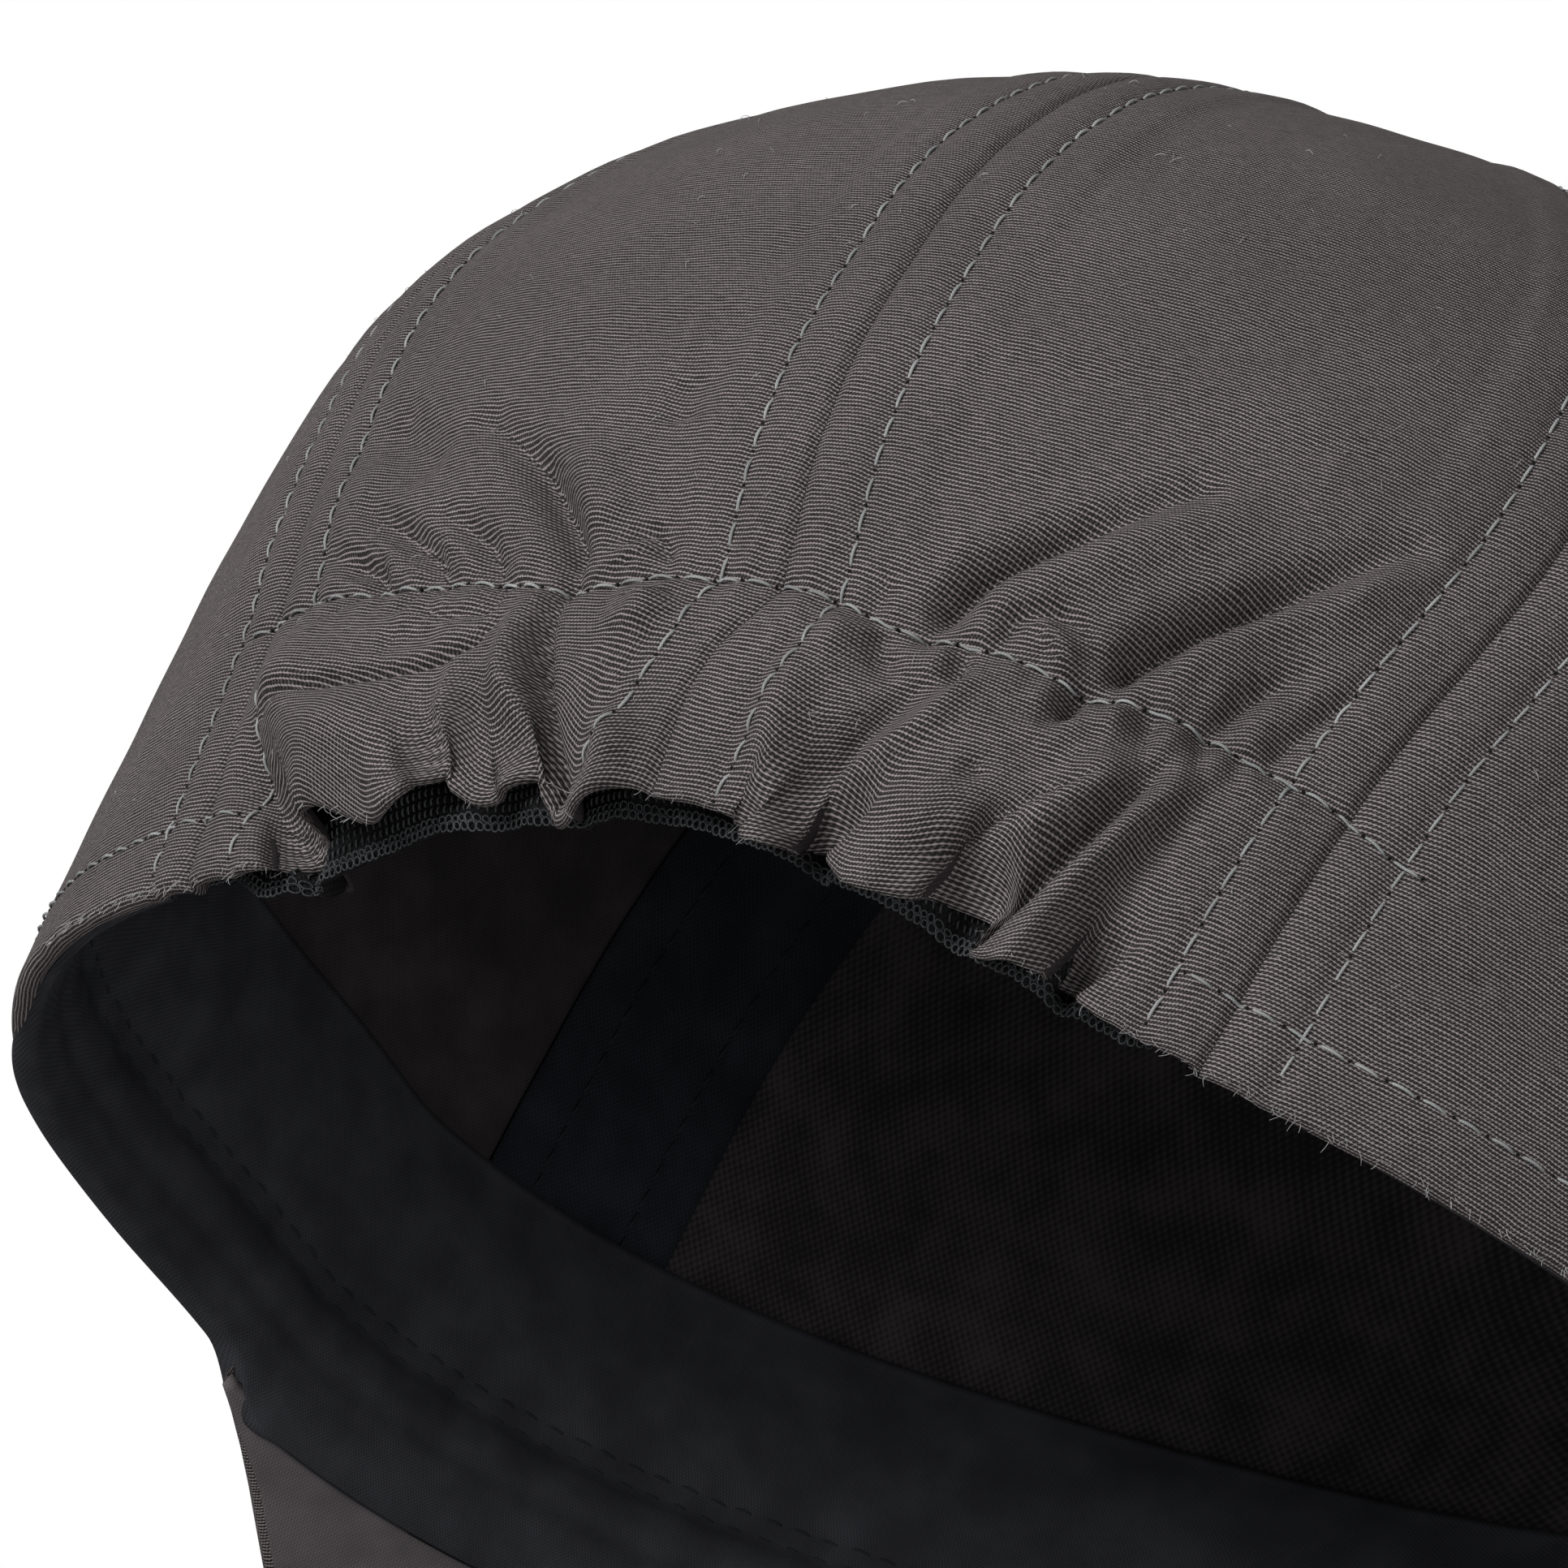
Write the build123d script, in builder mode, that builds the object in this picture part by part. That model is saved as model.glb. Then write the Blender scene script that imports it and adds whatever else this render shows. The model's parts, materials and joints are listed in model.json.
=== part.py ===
"""Soft five-panel cap with a curved visor and an elasticated, gathered back.

Millimetres, +Z up, +Y towards the back, +X towards the wearer's left.
The origin is the centre of the head opening, level with the hem at the sides.
Azimuths are counted from the centre back (+Y) towards the wearer's left (+X).
"""

import os
from functools import cache
from math import cos, hypot, radians, sin

from build123d import *

os.makedirs("parts", exist_ok=True)

# Crown: outside of the cloth at the hem, and at its fullest level
opening_half_width = 87.3
opening_rear = 64.2
opening_front = 95.5
side_flare = 0.6            # how far the walls lean out from the hem to the fullest level
rear_flare = 7.3
front_flare = 0.6
full_level = 54.0
crown_height = 118.0
dome_end_angle = 86.0       # where the dome stops at its small flat top, under the button
rear_arch = 6.5             # how far the hem rises at the centre back
rear_arch_run = 12.0        # length of that rise, seen from the side

# Seams
rear_seam_at_hem = 41.5     # azimuth
rear_seam_at_full = 46.9
front_seam = 128.0
seam_tape_width = 22.0
tape_end_radius = 7.5       # the tapes stop this far from the axis, round the backing disc

# Layers, from outside to inside
cloth = 0.9
tape = 0.7
elastic = 1.8
sweatband_padding_thickness = 0.6
sweatband_cloth = 0.9
ply_gap = 0.15              # air between two plies

# Bands along the hem
hem_fold = 7.0              # turned-in hem of the side panels
channel_height = 22.0       # elastic channel of the rear panels
elastic_height = 20.0
elastic_show = 2.5          # how far the elastic hangs below the gathered cloth
sweatband_height = 32.0
sweatband_step = 1.0        # the sweatband's edge sits this far above the hem
band_gap = 1.5              # space between the bands and the tape ends above them

# Visor
visor_corner = 110.0        # azimuth where the visor meets the hem
visor_reach = 68.0          # from the front of the crown to the tip
visor_slope = 0.25          # fall per unit of reach
visor_rise = 11.7           # height of its root at the centre front
visor_shoulder_inset = 2.0  # how far in from the corner each shoulder stands
visor_shoulder_reach = 20.0 # how far in front of the crown's centre front the shoulder is
visor_board_thickness = 2.2
visor_cloth = 0.8
visor_corner_tuck = 2.3     # how far the edge starts inside the crown's corner

# Top button
button_radius = 7.5
button_height = 4.0
button_cloth = 0.7
backing_radius = 6.0
backing_thickness = 1.0
prong_radius = 1.5
button_clearance = 0.6      # room for the panels that stretch back

# Fit between the panels that stretch back and the rest
body_gap = 0.4
prong_clearance = 0.6

# Levels inside the cloth, measured in from the outer surface
tape_level = cloth + ply_gap
sweatband_level = max(2 * cloth, tape_level + tape) + ply_gap
sweatband_face_level = sweatband_level + sweatband_padding_thickness + ply_gap
facing_level = tape_level + elastic + ply_gap

extent = 400.0              # larger than the cap, for cutting regions
form_bottom = -50.0

crown_half_width = opening_half_width + side_flare
crown_rear = opening_rear + rear_flare
crown_front = opening_front + front_flare


def from_rear(azimuth, half_width, rear, front):
    """Point at an azimuth on an oval of two half ellipses."""
    across, along = sin(radians(azimuth)), cos(radians(azimuth))
    reach = 1 / hypot(across / half_width, along / (rear if along > 0 else front))
    return reach * across, reach * along


corner_x, corner_y = from_rear(visor_corner, opening_half_width, opening_rear, opening_front)
corner_sag = visor_rise + (corner_y + opening_front) * visor_slope
visor_radius = (corner_x**2 + corner_sag**2) / (2 * corner_sag)


def crown_levels(inset):
    """Height and oval of each section of the crown, moved in by inset."""
    for height in (form_bottom, form_bottom / 2, 0, full_level / 3, 2 * full_level / 3, full_level):
        share = height / full_level
        flare = sin(radians(90 * share)) if height > 0 else share * radians(90)
        yield (
            height,
            opening_half_width + side_flare * flare - inset,
            opening_rear + rear_flare * flare - inset,
            opening_front + front_flare * flare - inset,
        )
    dome = crown_height - inset - full_level
    for angle in (14, 28, 42, 56, 68, 78, dome_end_angle):
        shrink = cos(radians(angle))
        yield (
            full_level + dome * sin(radians(angle)) / sin(radians(dome_end_angle)),
            (crown_half_width - inset) * shrink,
            (crown_rear - inset) * shrink,
            (crown_front - inset) * shrink,
        )


@cache
def crown_form(inset):
    """Solid filling the crown's outer surface moved in by inset."""
    with BuildPart(mode=Mode.PRIVATE) as form:
        for height, half_width, rear, front in crown_levels(inset):
            with BuildSketch(Plane.XY.offset(height)):
                with BuildLine():
                    EllipticalCenterArc((0, 0), half_width, rear, start_angle=0, arc_size=180)
                    EllipticalCenterArc((0, 0), half_width, front, start_angle=180, arc_size=180)
                make_face()
        loft()
    return form.part


@cache
def visor_form(lift, drop):
    """Solid under the visor's arched surface, raised by lift and thinned by drop."""
    crest = visor_rise + (corner_y + opening_front) * visor_slope + lift
    with BuildPart(mode=Mode.PRIVATE) as form:
        with BuildSketch(Plane.XZ.offset(-corner_y)):
            with Locations((0, crest - visor_radius)):
                Circle(visor_radius - drop)
        extrude(amount=extent, dir=(0, -1, -visor_slope))
    return form.part


@cache
def below_rim(height):
    """Everything lower than the crown's lower edge raised by height."""
    arch_start = (opening_rear - rear_arch_run, height)
    arch_end = (opening_rear, height + rear_arch)
    with BuildPart(mode=Mode.PRIVATE) as region:
        with BuildSketch(Plane.YZ):
            with BuildLine():
                Line((-extent, height), arch_start)
                TangentArc(arch_start, arch_end, tangent=(1, 0))
                Polyline(arch_end, (extent, arch_end[1]), (extent, -extent), (-extent, -extent), (-extent, height))
            make_face()
        extrude(amount=extent / 2, both=True)
        add(visor_form(height, 0))
    return region.part


def plane_at(azimuth):
    """Upright plane through the axis; its normal points to larger azimuths."""
    across, along = sin(radians(azimuth)), cos(radians(azimuth))
    return Plane(origin=(0, 0, 0), x_dir=(across, along, 0), z_dir=(along, -across, 0))


def rear_seam_plane():
    """Flat cut through the crown's top and the left rear seam."""
    low = Vector(*from_rear(rear_seam_at_hem, opening_half_width, opening_rear, opening_front), 0)
    full = Vector(*from_rear(rear_seam_at_full, crown_half_width, crown_rear, crown_front), full_level)
    top = Vector(0, 0, crown_height)
    normal = (top - low).cross(full - low).normalized()
    if normal.X < 0:
        normal = -normal
    return Plane(origin=top, x_dir=(full - low).normalized(), z_dir=normal)


rear_left = rear_seam_plane()
centre = plane_at(0)
front_left = plane_at(front_seam)


def mirrored(plane):
    """The same cut on the wearer's right, its normal still pointing away from the centre back."""
    flip = Plane(
        origin=(-plane.origin.X, plane.origin.Y, plane.origin.Z),
        x_dir=(-plane.x_dir.X, plane.x_dir.Y, plane.x_dir.Z),
        z_dir=(-plane.z_dir.X, plane.z_dir.Y, plane.z_dir.Z),
    )
    return flip


def layer(outer, inner, low, high=None):
    """Shell between two levels of the crown, from one height above the hem to another."""
    with BuildPart(mode=Mode.PRIVATE) as shell:
        add(crown_form(outer))
        add(crown_form(inner), mode=Mode.SUBTRACT)
        add(below_rim(low), mode=Mode.SUBTRACT)
        if high is not None:
            add(below_rim(high), mode=Mode.INTERSECT)
    return shell.part


def beyond(plane):
    """Keep what lies at larger azimuths than the plane."""
    split(bisect_by=plane, keep=Keep.TOP)


def before(plane):
    """Keep what lies at smaller azimuths than the plane."""
    split(bisect_by=plane, keep=Keep.BOTTOM)


@cache
def rear_wedge(clearance):
    """Sector between the two rear seams, widened by a clearance."""
    with BuildPart(mode=Mode.PRIVATE) as wedge:
        Box(extent, extent, 2 * extent)
        before(rear_left.offset(clearance))
        before(mirrored(rear_left).offset(clearance))
    return wedge.part


def top_hole(radius):
    """Remove a hole round the axis."""
    Cylinder(radius, 2 * extent, mode=Mode.SUBTRACT)


# Rear panels: gathered cloth over the elastic, hung from the top of the crown

with BuildPart() as rear_panel_left:
    add(layer(0, cloth, elastic_show))
    beyond(centre)
    before(rear_left.offset(-body_gap))
    top_hole(prong_radius + prong_clearance)

with BuildPart() as rear_panel_right:
    mirror(rear_panel_left.part, about=Plane.YZ)

with BuildPart() as channel_facing_left:
    add(layer(facing_level, facing_level + cloth, elastic_show, channel_height))
    beyond(centre)
    before(rear_left.offset(-body_gap))

with BuildPart() as channel_facing_right:
    mirror(channel_facing_left.part, about=Plane.YZ)

with BuildPart() as elastic_band:
    add(layer(tape_level, tape_level + elastic, 0, elastic_height))
    add(rear_wedge(-body_gap), mode=Mode.INTERSECT)

with BuildPart() as seam_tape_centre_back:
    add(layer(tape_level, tape_level + tape, channel_height + band_gap))
    beyond(centre.offset(-seam_tape_width / 2))
    before(centre.offset(seam_tape_width / 2))
    beyond(plane_at(-rear_seam_at_hem / 2).offset(body_gap))
    before(plane_at(rear_seam_at_hem / 2).offset(-body_gap))
    top_hole(tape_end_radius)

# Side panels, each with its hem turned in as far as the visor

with BuildPart() as side_panel_left:
    add(layer(0, cloth, 0))
    add(layer(cloth, 2 * cloth, 0, hem_fold))
    beyond(rear_left)
    before(front_left)
    top_hole(prong_radius)

with BuildPart() as side_panel_right:
    mirror(side_panel_left.part, about=Plane.YZ)

# Front panel with its stiffener between the tapes of the front seams

with BuildPart() as front_panel:
    add(layer(0, cloth, 0))
    beyond(front_left)
    beyond(mirrored(front_left))
    top_hole(prong_radius)

with BuildPart() as front_stiffener:
    add(layer(tape_level, tape_level + tape, sweatband_step))
    beyond(front_left.offset(seam_tape_width / 2 + ply_gap))
    beyond(mirrored(front_left).offset(seam_tape_width / 2 + ply_gap))
    top_hole(tape_end_radius)

# Tapes over the seams of the side panels

with BuildPart() as seam_tape_rear_left:
    add(layer(tape_level, tape_level + tape, channel_height + band_gap))
    beyond(rear_left.offset(-seam_tape_width / 2))
    before(rear_left.offset(seam_tape_width / 2))
    beyond(plane_at(rear_seam_at_hem / 2))
    before(plane_at((rear_seam_at_full + front_seam) / 2))
    top_hole(tape_end_radius)

with BuildPart() as seam_tape_rear_right:
    mirror(seam_tape_rear_left.part, about=Plane.YZ)

with BuildPart() as seam_tape_front_left:
    add(layer(tape_level, tape_level + tape, hem_fold + band_gap))
    beyond(front_left.offset(-seam_tape_width / 2))
    before(front_left.offset(seam_tape_width / 2))
    beyond(plane_at((rear_seam_at_full + front_seam) / 2).offset(ply_gap))
    before(plane_at(180))
    top_hole(tape_end_radius)

with BuildPart() as seam_tape_front_right:
    mirror(seam_tape_front_left.part, about=Plane.YZ)

# Sweatband, from one rear seam round the front to the other

with BuildPart() as sweatband_padding:
    add(layer(sweatband_level, sweatband_level + sweatband_padding_thickness, sweatband_step, sweatband_height))
    add(rear_wedge(body_gap), mode=Mode.SUBTRACT)

with BuildPart() as sweatband_face:
    add(layer(sweatband_face_level, sweatband_face_level + sweatband_cloth, sweatband_step, sweatband_height))
    add(rear_wedge(body_gap), mode=Mode.SUBTRACT)


# Visor: a board between two cloth covers, bent over one long arch

def visor_plan(margin):
    """Upright block over the visor's outline, moved in by margin."""
    tip_y = -opening_front - visor_reach + margin
    with BuildPart(mode=Mode.PRIVATE) as block:
        with BuildSketch(Plane.XY.offset(-extent / 2)):
            with BuildLine():
                corner = (corner_x - visor_corner_tuck - margin, corner_y)
                shoulder = (
                    corner_x - visor_shoulder_inset - margin,
                    -opening_front - visor_shoulder_reach + margin,
                )
                edge = Spline(
                    corner,
                    shoulder,
                    (0, tip_y),
                    tangents=((0.08, -1), (-1, 0)),
                )
                mirror(edge, about=Plane.YZ)
                Line(edge @ 0, (-corner[0], corner[1]))
            make_face()
        extrude(amount=extent)
    return block.part


@cache
def visor_sheet(drop, thickness, margin, root_level):
    """Arched sheet of the visor, reaching in to a level of the crown."""
    with BuildPart(mode=Mode.PRIVATE) as sheet:
        add(visor_form(0, drop))
        add(visor_form(0, drop + thickness), mode=Mode.SUBTRACT)
        add(visor_plan(margin), mode=Mode.INTERSECT)
        add(crown_form(root_level), mode=Mode.SUBTRACT)
    return sheet.part


visor_thickness = 2 * visor_cloth + visor_board_thickness

with BuildPart() as visor_board:
    add(visor_sheet(visor_cloth, visor_board_thickness, visor_cloth, -body_gap))

with BuildPart() as visor_lower_cover:
    add(visor_sheet(visor_cloth + visor_board_thickness, visor_cloth, visor_cloth, cloth))

with BuildPart() as visor_upper_cover:
    add(visor_sheet(0, visor_thickness, 0, cloth))
    add(visor_sheet(visor_cloth, visor_thickness, visor_cloth, cloth), mode=Mode.SUBTRACT)


# Top button: a domed shell under cloth, clinched through the crown to a backing disc

button_base = crown_height + button_clearance
shell_radius = button_radius - button_cloth
shell_height = button_height - button_cloth
backing_top = crown_height - tape_level - tape - button_clearance


def button_dome(radius, height):
    """Dome standing on the button's base."""
    with BuildPart(mode=Mode.PRIVATE) as dome:
        with BuildSketch(Plane.XZ):
            with BuildLine():
                base = Line((0, button_base), (radius, button_base))
                crest = TangentArc((0, button_base + height), base @ 1, tangent=(1, 0))
                Line(crest @ 0, base @ 0)
            make_face()
        revolve(axis=Axis.Z)
    return dome.part


with BuildPart() as button_shell:
    add(button_dome(shell_radius, shell_height))

with BuildPart() as button_cover:
    add(button_dome(button_radius, button_height))
    add(button_dome(shell_radius, shell_height), mode=Mode.SUBTRACT)

with BuildPart() as button_backing:
    with BuildSketch(Plane.XY.offset(backing_top - backing_thickness)):
        Circle(backing_radius)
    extrude(amount=backing_thickness)
    with BuildSketch(Plane.XY.offset(backing_top)):
        Circle(prong_radius)
    extrude(amount=button_base - backing_top)


pieces = {
    "front_panel": front_panel,
    "front_stiffener": front_stiffener,
    "side_panel_left": side_panel_left,
    "side_panel_right": side_panel_right,
    "rear_panel_left": rear_panel_left,
    "rear_panel_right": rear_panel_right,
    "seam_tape_centre_back": seam_tape_centre_back,
    "seam_tape_rear_left": seam_tape_rear_left,
    "seam_tape_rear_right": seam_tape_rear_right,
    "seam_tape_front_left": seam_tape_front_left,
    "seam_tape_front_right": seam_tape_front_right,
    "elastic_band": elastic_band,
    "channel_facing_left": channel_facing_left,
    "channel_facing_right": channel_facing_right,
    "sweatband_padding": sweatband_padding,
    "sweatband_face": sweatband_face,
    "visor_board": visor_board,
    "visor_upper_cover": visor_upper_cover,
    "visor_lower_cover": visor_lower_cover,
    "button_shell": button_shell,
    "button_cover": button_cover,
    "button_backing": button_backing,
}

for name, piece in pieces.items():
    piece.part.label = name
    export_step(piece.part, f"parts/{name}.step")
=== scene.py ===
"""Looks of the soft five-panel cap: gathered elasticated back, stitched panels, dark inside, curved visor.

Lengths are millimetres until a mesh is made. Azimuths are degrees from the centre back (+Y) towards the
wearer's left (+X). Heights run along the cloth from the level of the hem at the sides.
"""

import json
import math

import bmesh
import bpy
import numpy as np
from mathutils import Matrix, Vector

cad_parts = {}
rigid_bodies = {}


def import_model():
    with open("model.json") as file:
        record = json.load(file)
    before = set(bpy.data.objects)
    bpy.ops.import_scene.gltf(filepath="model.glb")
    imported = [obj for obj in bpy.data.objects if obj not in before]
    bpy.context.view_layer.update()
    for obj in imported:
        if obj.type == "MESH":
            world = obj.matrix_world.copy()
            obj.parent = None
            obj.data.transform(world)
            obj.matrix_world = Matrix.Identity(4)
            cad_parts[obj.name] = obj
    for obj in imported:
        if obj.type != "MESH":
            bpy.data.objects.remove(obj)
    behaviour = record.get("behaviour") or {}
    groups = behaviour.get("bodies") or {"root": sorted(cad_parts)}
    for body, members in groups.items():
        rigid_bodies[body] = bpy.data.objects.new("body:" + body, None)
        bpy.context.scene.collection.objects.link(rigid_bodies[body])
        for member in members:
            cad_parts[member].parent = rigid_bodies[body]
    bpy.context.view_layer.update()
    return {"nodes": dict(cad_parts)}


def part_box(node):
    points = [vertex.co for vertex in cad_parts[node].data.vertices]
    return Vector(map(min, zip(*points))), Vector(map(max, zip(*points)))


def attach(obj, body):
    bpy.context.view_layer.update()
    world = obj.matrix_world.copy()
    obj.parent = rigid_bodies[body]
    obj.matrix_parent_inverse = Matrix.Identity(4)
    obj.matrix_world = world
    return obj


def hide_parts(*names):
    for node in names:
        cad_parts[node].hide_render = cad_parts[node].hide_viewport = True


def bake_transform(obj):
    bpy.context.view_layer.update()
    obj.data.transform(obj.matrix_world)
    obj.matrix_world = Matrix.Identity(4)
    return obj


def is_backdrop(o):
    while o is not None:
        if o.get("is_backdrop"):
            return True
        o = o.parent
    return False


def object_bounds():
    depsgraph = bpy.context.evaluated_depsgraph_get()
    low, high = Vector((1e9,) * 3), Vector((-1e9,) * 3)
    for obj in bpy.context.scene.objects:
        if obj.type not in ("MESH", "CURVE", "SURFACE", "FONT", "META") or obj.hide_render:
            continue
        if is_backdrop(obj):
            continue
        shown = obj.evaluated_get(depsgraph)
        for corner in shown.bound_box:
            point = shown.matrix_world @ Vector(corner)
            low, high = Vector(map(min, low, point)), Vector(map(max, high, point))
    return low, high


for thing in list(bpy.data.objects):
    bpy.data.objects.remove(thing)

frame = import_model()

MM = 0.001


def limit(node, end, axis):
    """One limit of a node's box, in millimetres: end 0 is the lowest, 1 the highest."""
    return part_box(node)[end]["XYZ".index(axis)] / MM


# ---------------------------------------------------------------- crown: the smooth shape

FULL_LEVEL = 54.0                                  # height of the fullest level
FULL_SIDE = limit("side_panel_left", 1, "X")       # half width and depths there
FULL_REAR = limit("rear_panel_left", 1, "Y")
FULL_FRONT = -limit("front_panel", 0, "Y")
CROWN_HEIGHT = limit("side_panel_left", 1, "Z")
SIDE_FLARE = 0.6                                   # how far the walls lean out below that level
REAR_FLARE = 7.3
FRONT_FLARE = 0.6
DOME_LENGTH = 112.0                                # cloth from the fullest level to the top
TOP = FULL_LEVEL + 0.975 * DOME_LENGTH             # the cloth ends under the button
CLOTH = 0.8


def smooth_through(points):
    """Smooth function of one number through a few points."""
    x, y = np.array(points, float).T
    slope = np.gradient(y, x)

    def at(value):
        value = np.clip(np.asarray(value, float), x[0], x[-1])
        i = np.clip(np.searchsorted(x, value) - 1, 0, len(x) - 2)
        width = x[i + 1] - x[i]
        t = (value - x[i]) / width
        return (
            y[i] * (1 + 2 * t) * (1 - t) ** 2
            + y[i + 1] * t * t * (3 - 2 * t)
            + width * (slope[i] * t * (1 - t) ** 2 - slope[i + 1] * t * t * (1 - t))
        )

    return at


def step(low, high, value):
    """Smooth rise from 0 at low to 1 at high."""
    t = np.clip((np.asarray(value, float) - low) / (high - low), 0, 1)
    return t * t * (3 - 2 * t)


def unit(vectors):
    """The same directions at length 1."""
    return vectors / np.maximum(np.linalg.norm(vectors, axis=-1, keepdims=True), 1e-9)


def smooth_crown(azimuth, height):
    """Point of the crown without its folds."""
    angle = np.radians(azimuth)
    height = np.asarray(height, float)
    share = height / FULL_LEVEL
    lean = 1 - np.where(share > 0, np.sin(np.pi / 2 * np.clip(share, 0, 1)), share * np.pi / 2)
    turn = np.clip((height - FULL_LEVEL) / DOME_LENGTH, 0, 1) * np.pi / 2
    shrink = np.cos(turn)
    z = np.where(height > FULL_LEVEL, FULL_LEVEL + (CROWN_HEIGHT - FULL_LEVEL) * np.sin(turn), height)
    across, along = np.sin(angle), np.cos(angle)
    half_width = (FULL_SIDE - SIDE_FLARE * lean) * shrink
    depth = np.where(along > 0, FULL_REAR - REAR_FLARE * lean, FULL_FRONT - FRONT_FLARE * lean) * shrink
    reach = 1 / np.hypot(across / half_width, along / depth)
    return np.stack([reach * across, reach * along, z + 0 * reach], -1)


def together(azimuth, height):
    """Both as arrays of one shape."""
    return np.broadcast_arrays(np.asarray(azimuth, float), np.asarray(height, float))


def wrapped(azimuth):
    """The same azimuth, no greater than 180."""
    return np.where(azimuth > 180, azimuth - 360, azimuth)


def outward_of(surface, azimuth, height, e, f):
    """Outward direction of a surface, from its points e degrees and f millimetres to each side."""
    sideways = surface(azimuth + e, height) - surface(azimuth - e, height)
    upwards = surface(azimuth, height + f) - surface(azimuth, height - f)
    return unit(np.cross(upwards, sideways))


def crown_normal(azimuth, height):
    """Outward direction of the smooth crown."""
    azimuth, height = together(azimuth, height)
    return outward_of(smooth_crown, azimuth, height, 0.05, 0.05)


def off_crown(azimuth, height, raised):
    """Point that stands so many millimetres off the smooth crown."""
    return smooth_crown(azimuth, height) + crown_normal(azimuth, height) * raised[..., None]


# ---------------------------------------------------------------- crown: seams, bands and edges

REAR_MM = 1.16                    # millimetres in a degree along the back of the hem
SEAM_TO_STITCH = 5.6              # topstitching on each side of a seam

centre_seam = smooth_through([(0, 1.5), (10, 1.2), (20, 0), (26, -2), (32, -1.8), (38, -1.1), (50, -0.2),
                              (60, 0), (TOP, 0)])
rear_seam = smooth_through([(0, 41.7), (20, 42.5), (30, 43.4), (40, 44.9), (50, 46.3), (60, 47), (TOP, 47)])
front_seam = smooth_through([(0, 128), (TOP, 128)])

# lowest edge of the back, where the elastic ends, and of the side hems
rear_edge = smooth_through([(-180, 0), (-114, 0.2), (-107, 1.3), (-98, 1.3), (-88, 0.8), (-70, -0.8),
                            (-50, -1.5), (-42, -1.1), (-35, 0), (-30, 0.8), (-25, 2), (-20, 3.2),
                            (-12, 4.8), (-5, 6.1), (0, 6.5), (5, 6), (12, 4.6), (20, 3.1), (26, 1.4),
                            (31, -0.4), (36, -1.6), (45, -1.8), (70, -0.8), (88, 0.8), (98, 1.3),
                            (107, 1.3), (114, 0.2), (180, 0)])
# stitch line that closes the elastic channel
channel_line = smooth_through([(-50, 21), (-46, 21.3), (-42, 22.9), (-36, 23.8), (-30, 24.8), (-25, 24.4),
                               (-20, 25), (-10, 25.5), (-6, 26.4), (0, 26.6), (5, 26), (11, 24.8),
                               (15, 24.2), (20, 24.8), (30, 24.8), (40, 24.6), (46, 23.5), (50, 23)])
# lower edge of the gathered cloth, pulled up in scallops between its curls
gathered_edge = smooth_through([(-42, -0.8), (-36, -0.2), (-34, 0.3), (-32.6, 1.5), (-31.4, 2.6),
                                (-30.4, 1.9), (-29.2, 0.9), (-27.4, 0.5), (-25.8, 1.5), (-24.4, 4.2),
                                (-22.6, 5.5), (-20.8, 4.9), (-19.2, 3.3), (-17.2, 2.7), (-15.2, 3.3),
                                (-13.4, 5.6), (-11.6, 7.1), (-10.2, 5.7), (-8.8, 4.4), (-7.6, 4.6),
                                (-6.4, 6.2), (-4.6, 6.9), (0, 7.1), (3.2, 7), (4.6, 5.6), (6, 3.8),
                                (7.6, 3.2), (9, 4.4), (10.6, 6.6), (12.2, 7.5), (13.6, 5.9), (15, 4.4),
                                (16.6, 5), (18, 6.2), (19.2, 4.8), (20.4, 2.7), (22.4, 2), (24.6, 2.3),
                                (26.8, 3), (29, 3.6), (31, 3.4), (33, 1.8), (35, -0.4), (38, -1.4),
                                (42, -1.7)])
# between the curls the cloth tucks in: azimuth, half width and depth in millimetres
TUCKS = [(-6.2, 1.1, 1.8), (-11.6, 1.9, 4.0), (-22.6, 2.5, 4.0), (-31.4, 1.6, 3.8), (12.2, 1.8, 3.8),
         (18.2, 1.4, 2.4), (33, 1.9, 3.4)]
TUCK_TALL = 10.0
TUCK_SLANT = 0.33                 # degrees that a tuck leans away from the centre in a millimetre of height
TUCK_SWAY = 0.6                   # how far the walls of a tuck lean over it, as a share of its half width


def degree_width(azimuth, height):
    """Millimetres across a degree at a level."""
    wide = smooth_crown(azimuth + 0.5, height) - smooth_crown(azimuth - 0.5, height)
    return np.linalg.norm(wide, axis=-1)


# ---------------------------------------------------------------- crown: folds

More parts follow.
